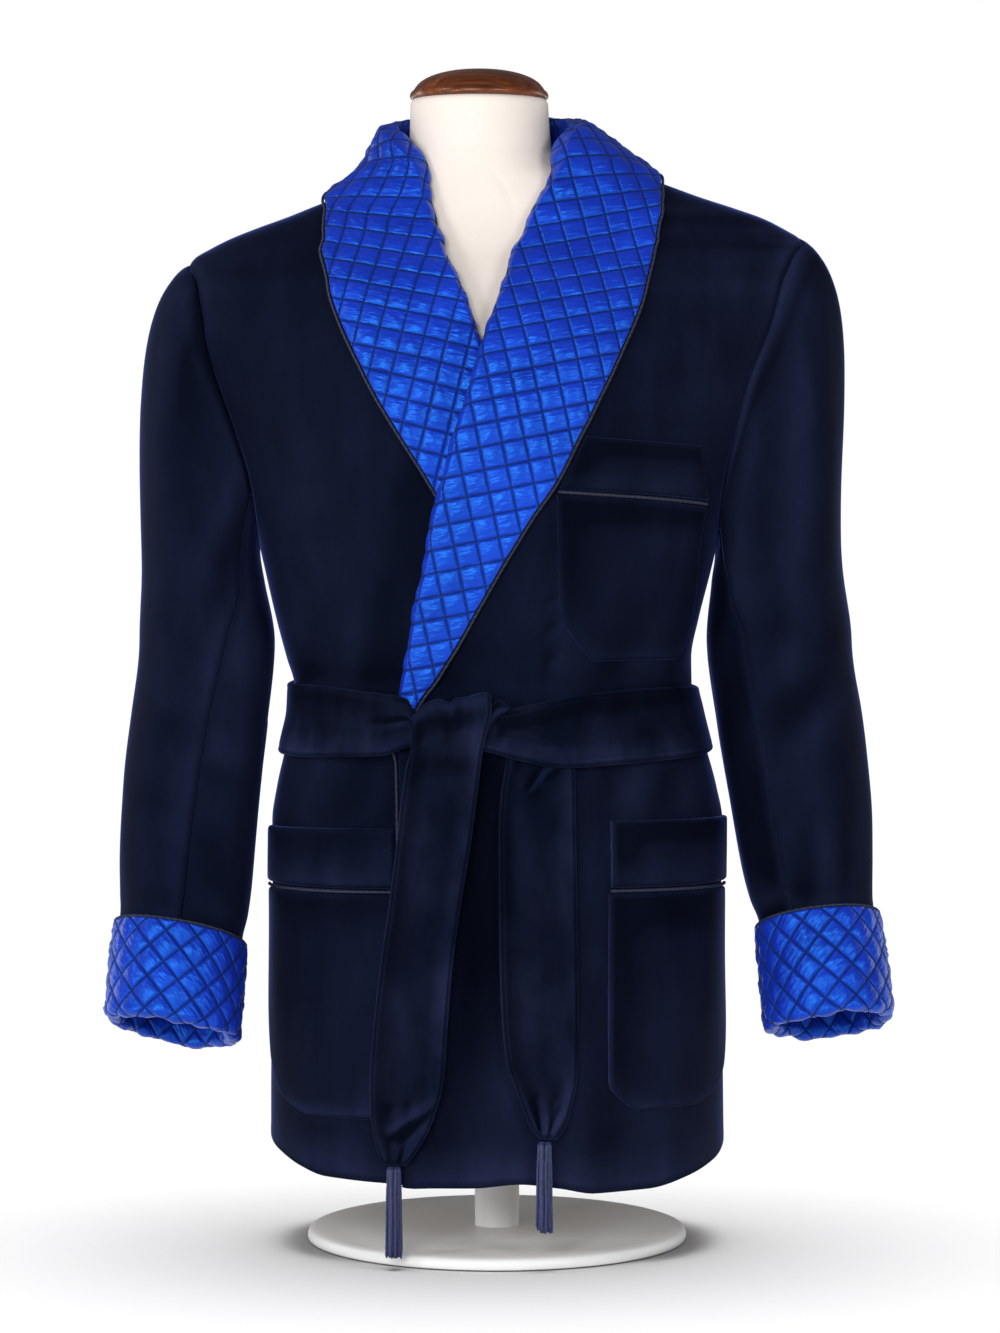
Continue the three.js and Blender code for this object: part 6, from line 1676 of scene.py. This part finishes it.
def turned_piece(name, profile, centre, mat, sides=96):
    prof = np.array(profile, float)
    a = 2 * math.pi * np.arange(sides) / sides
    r, h = prof[:, 0][:, None], prof[:, 1][:, None]
    g = vec(centre[0] + r * np.cos(a)[None], centre[1] + r * np.sin(a)[None], centre[2] + h + 0 * a[None])
    return piece(skin(name, g, mat), name)


def smooth_profile(points, times=3):
    p = np.array(points, float)
    for _ in range(times):
        a, b = 0.75 * p[:-1] + 0.25 * p[1:], 0.25 * p[:-1] + 0.75 * p[1:]
        p = np.concatenate([p[:1], np.stack([a, b], 1).reshape(-1, 2)[1:-1], p[-1:]])
    return p


form_piece()
turned_piece("neck_cap", smooth_profile([(0.6, 0.3), (50, 0.3), (53.2, 0.6), (54.6, 2.2), (54.6, 4.4), (53.4, 6.8), (51.6, 7.6), (51.2, 9.0), (46.4, 14.8), (36.4, 19.8), (22, 23.2), (8, 24.1), (0.6, 24.2)]),
             (NECK_X, NECK_Y, NECK_TOP), M["wood"])
turned_piece("stand_post", [(0.5, BASE_T + 0.1), (POST_R, BASE_T + 0.1), (POST_R, BASE_T + 0.6), (POST_R - 0.4, BASE_T + 1.2), (POST_R - 0.4, FORM_BOTTOM - 0.2), (0.5, FORM_BOTTOM - 0.2)], (0, 0, 0), M["paint"])
turned_piece("base_plate", smooth_profile([(0.5, 0), (148, 0), (BASE_R, 1.2), (BASE_R, 5.5), (147, BASE_T), (120, BASE_T), (0.5, BASE_T)], 2), (0, 0, 0), M["paint"], 160)

# the plate and post stand in the jacket's shade, and the sleeves cast none down there
no_shade = bpy.data.collections.new("no_shade_below")
for ob in list(bpy.data.objects):
    if ob.name in ("base_plate", "stand_post"):
        ALL_BUT_STAND.objects.link(ob)
        ALL_BUT_STAND.collection_objects[len(ALL_BUT_STAND.collection_objects) - 1].light_linking.link_state = "EXCLUDE"
    elif ob.type == "MESH" and (ob.name.startswith("sleeve_") or "cuff" in ob.name):
        no_shade.objects.link(ob)
SKY.light_linking.blocker_collection = no_shade
for k in range(len(no_shade.collection_objects)):
    no_shade.collection_objects[k].light_linking.link_state = "EXCLUDE"

print("cuts", json.dumps(CUTS))
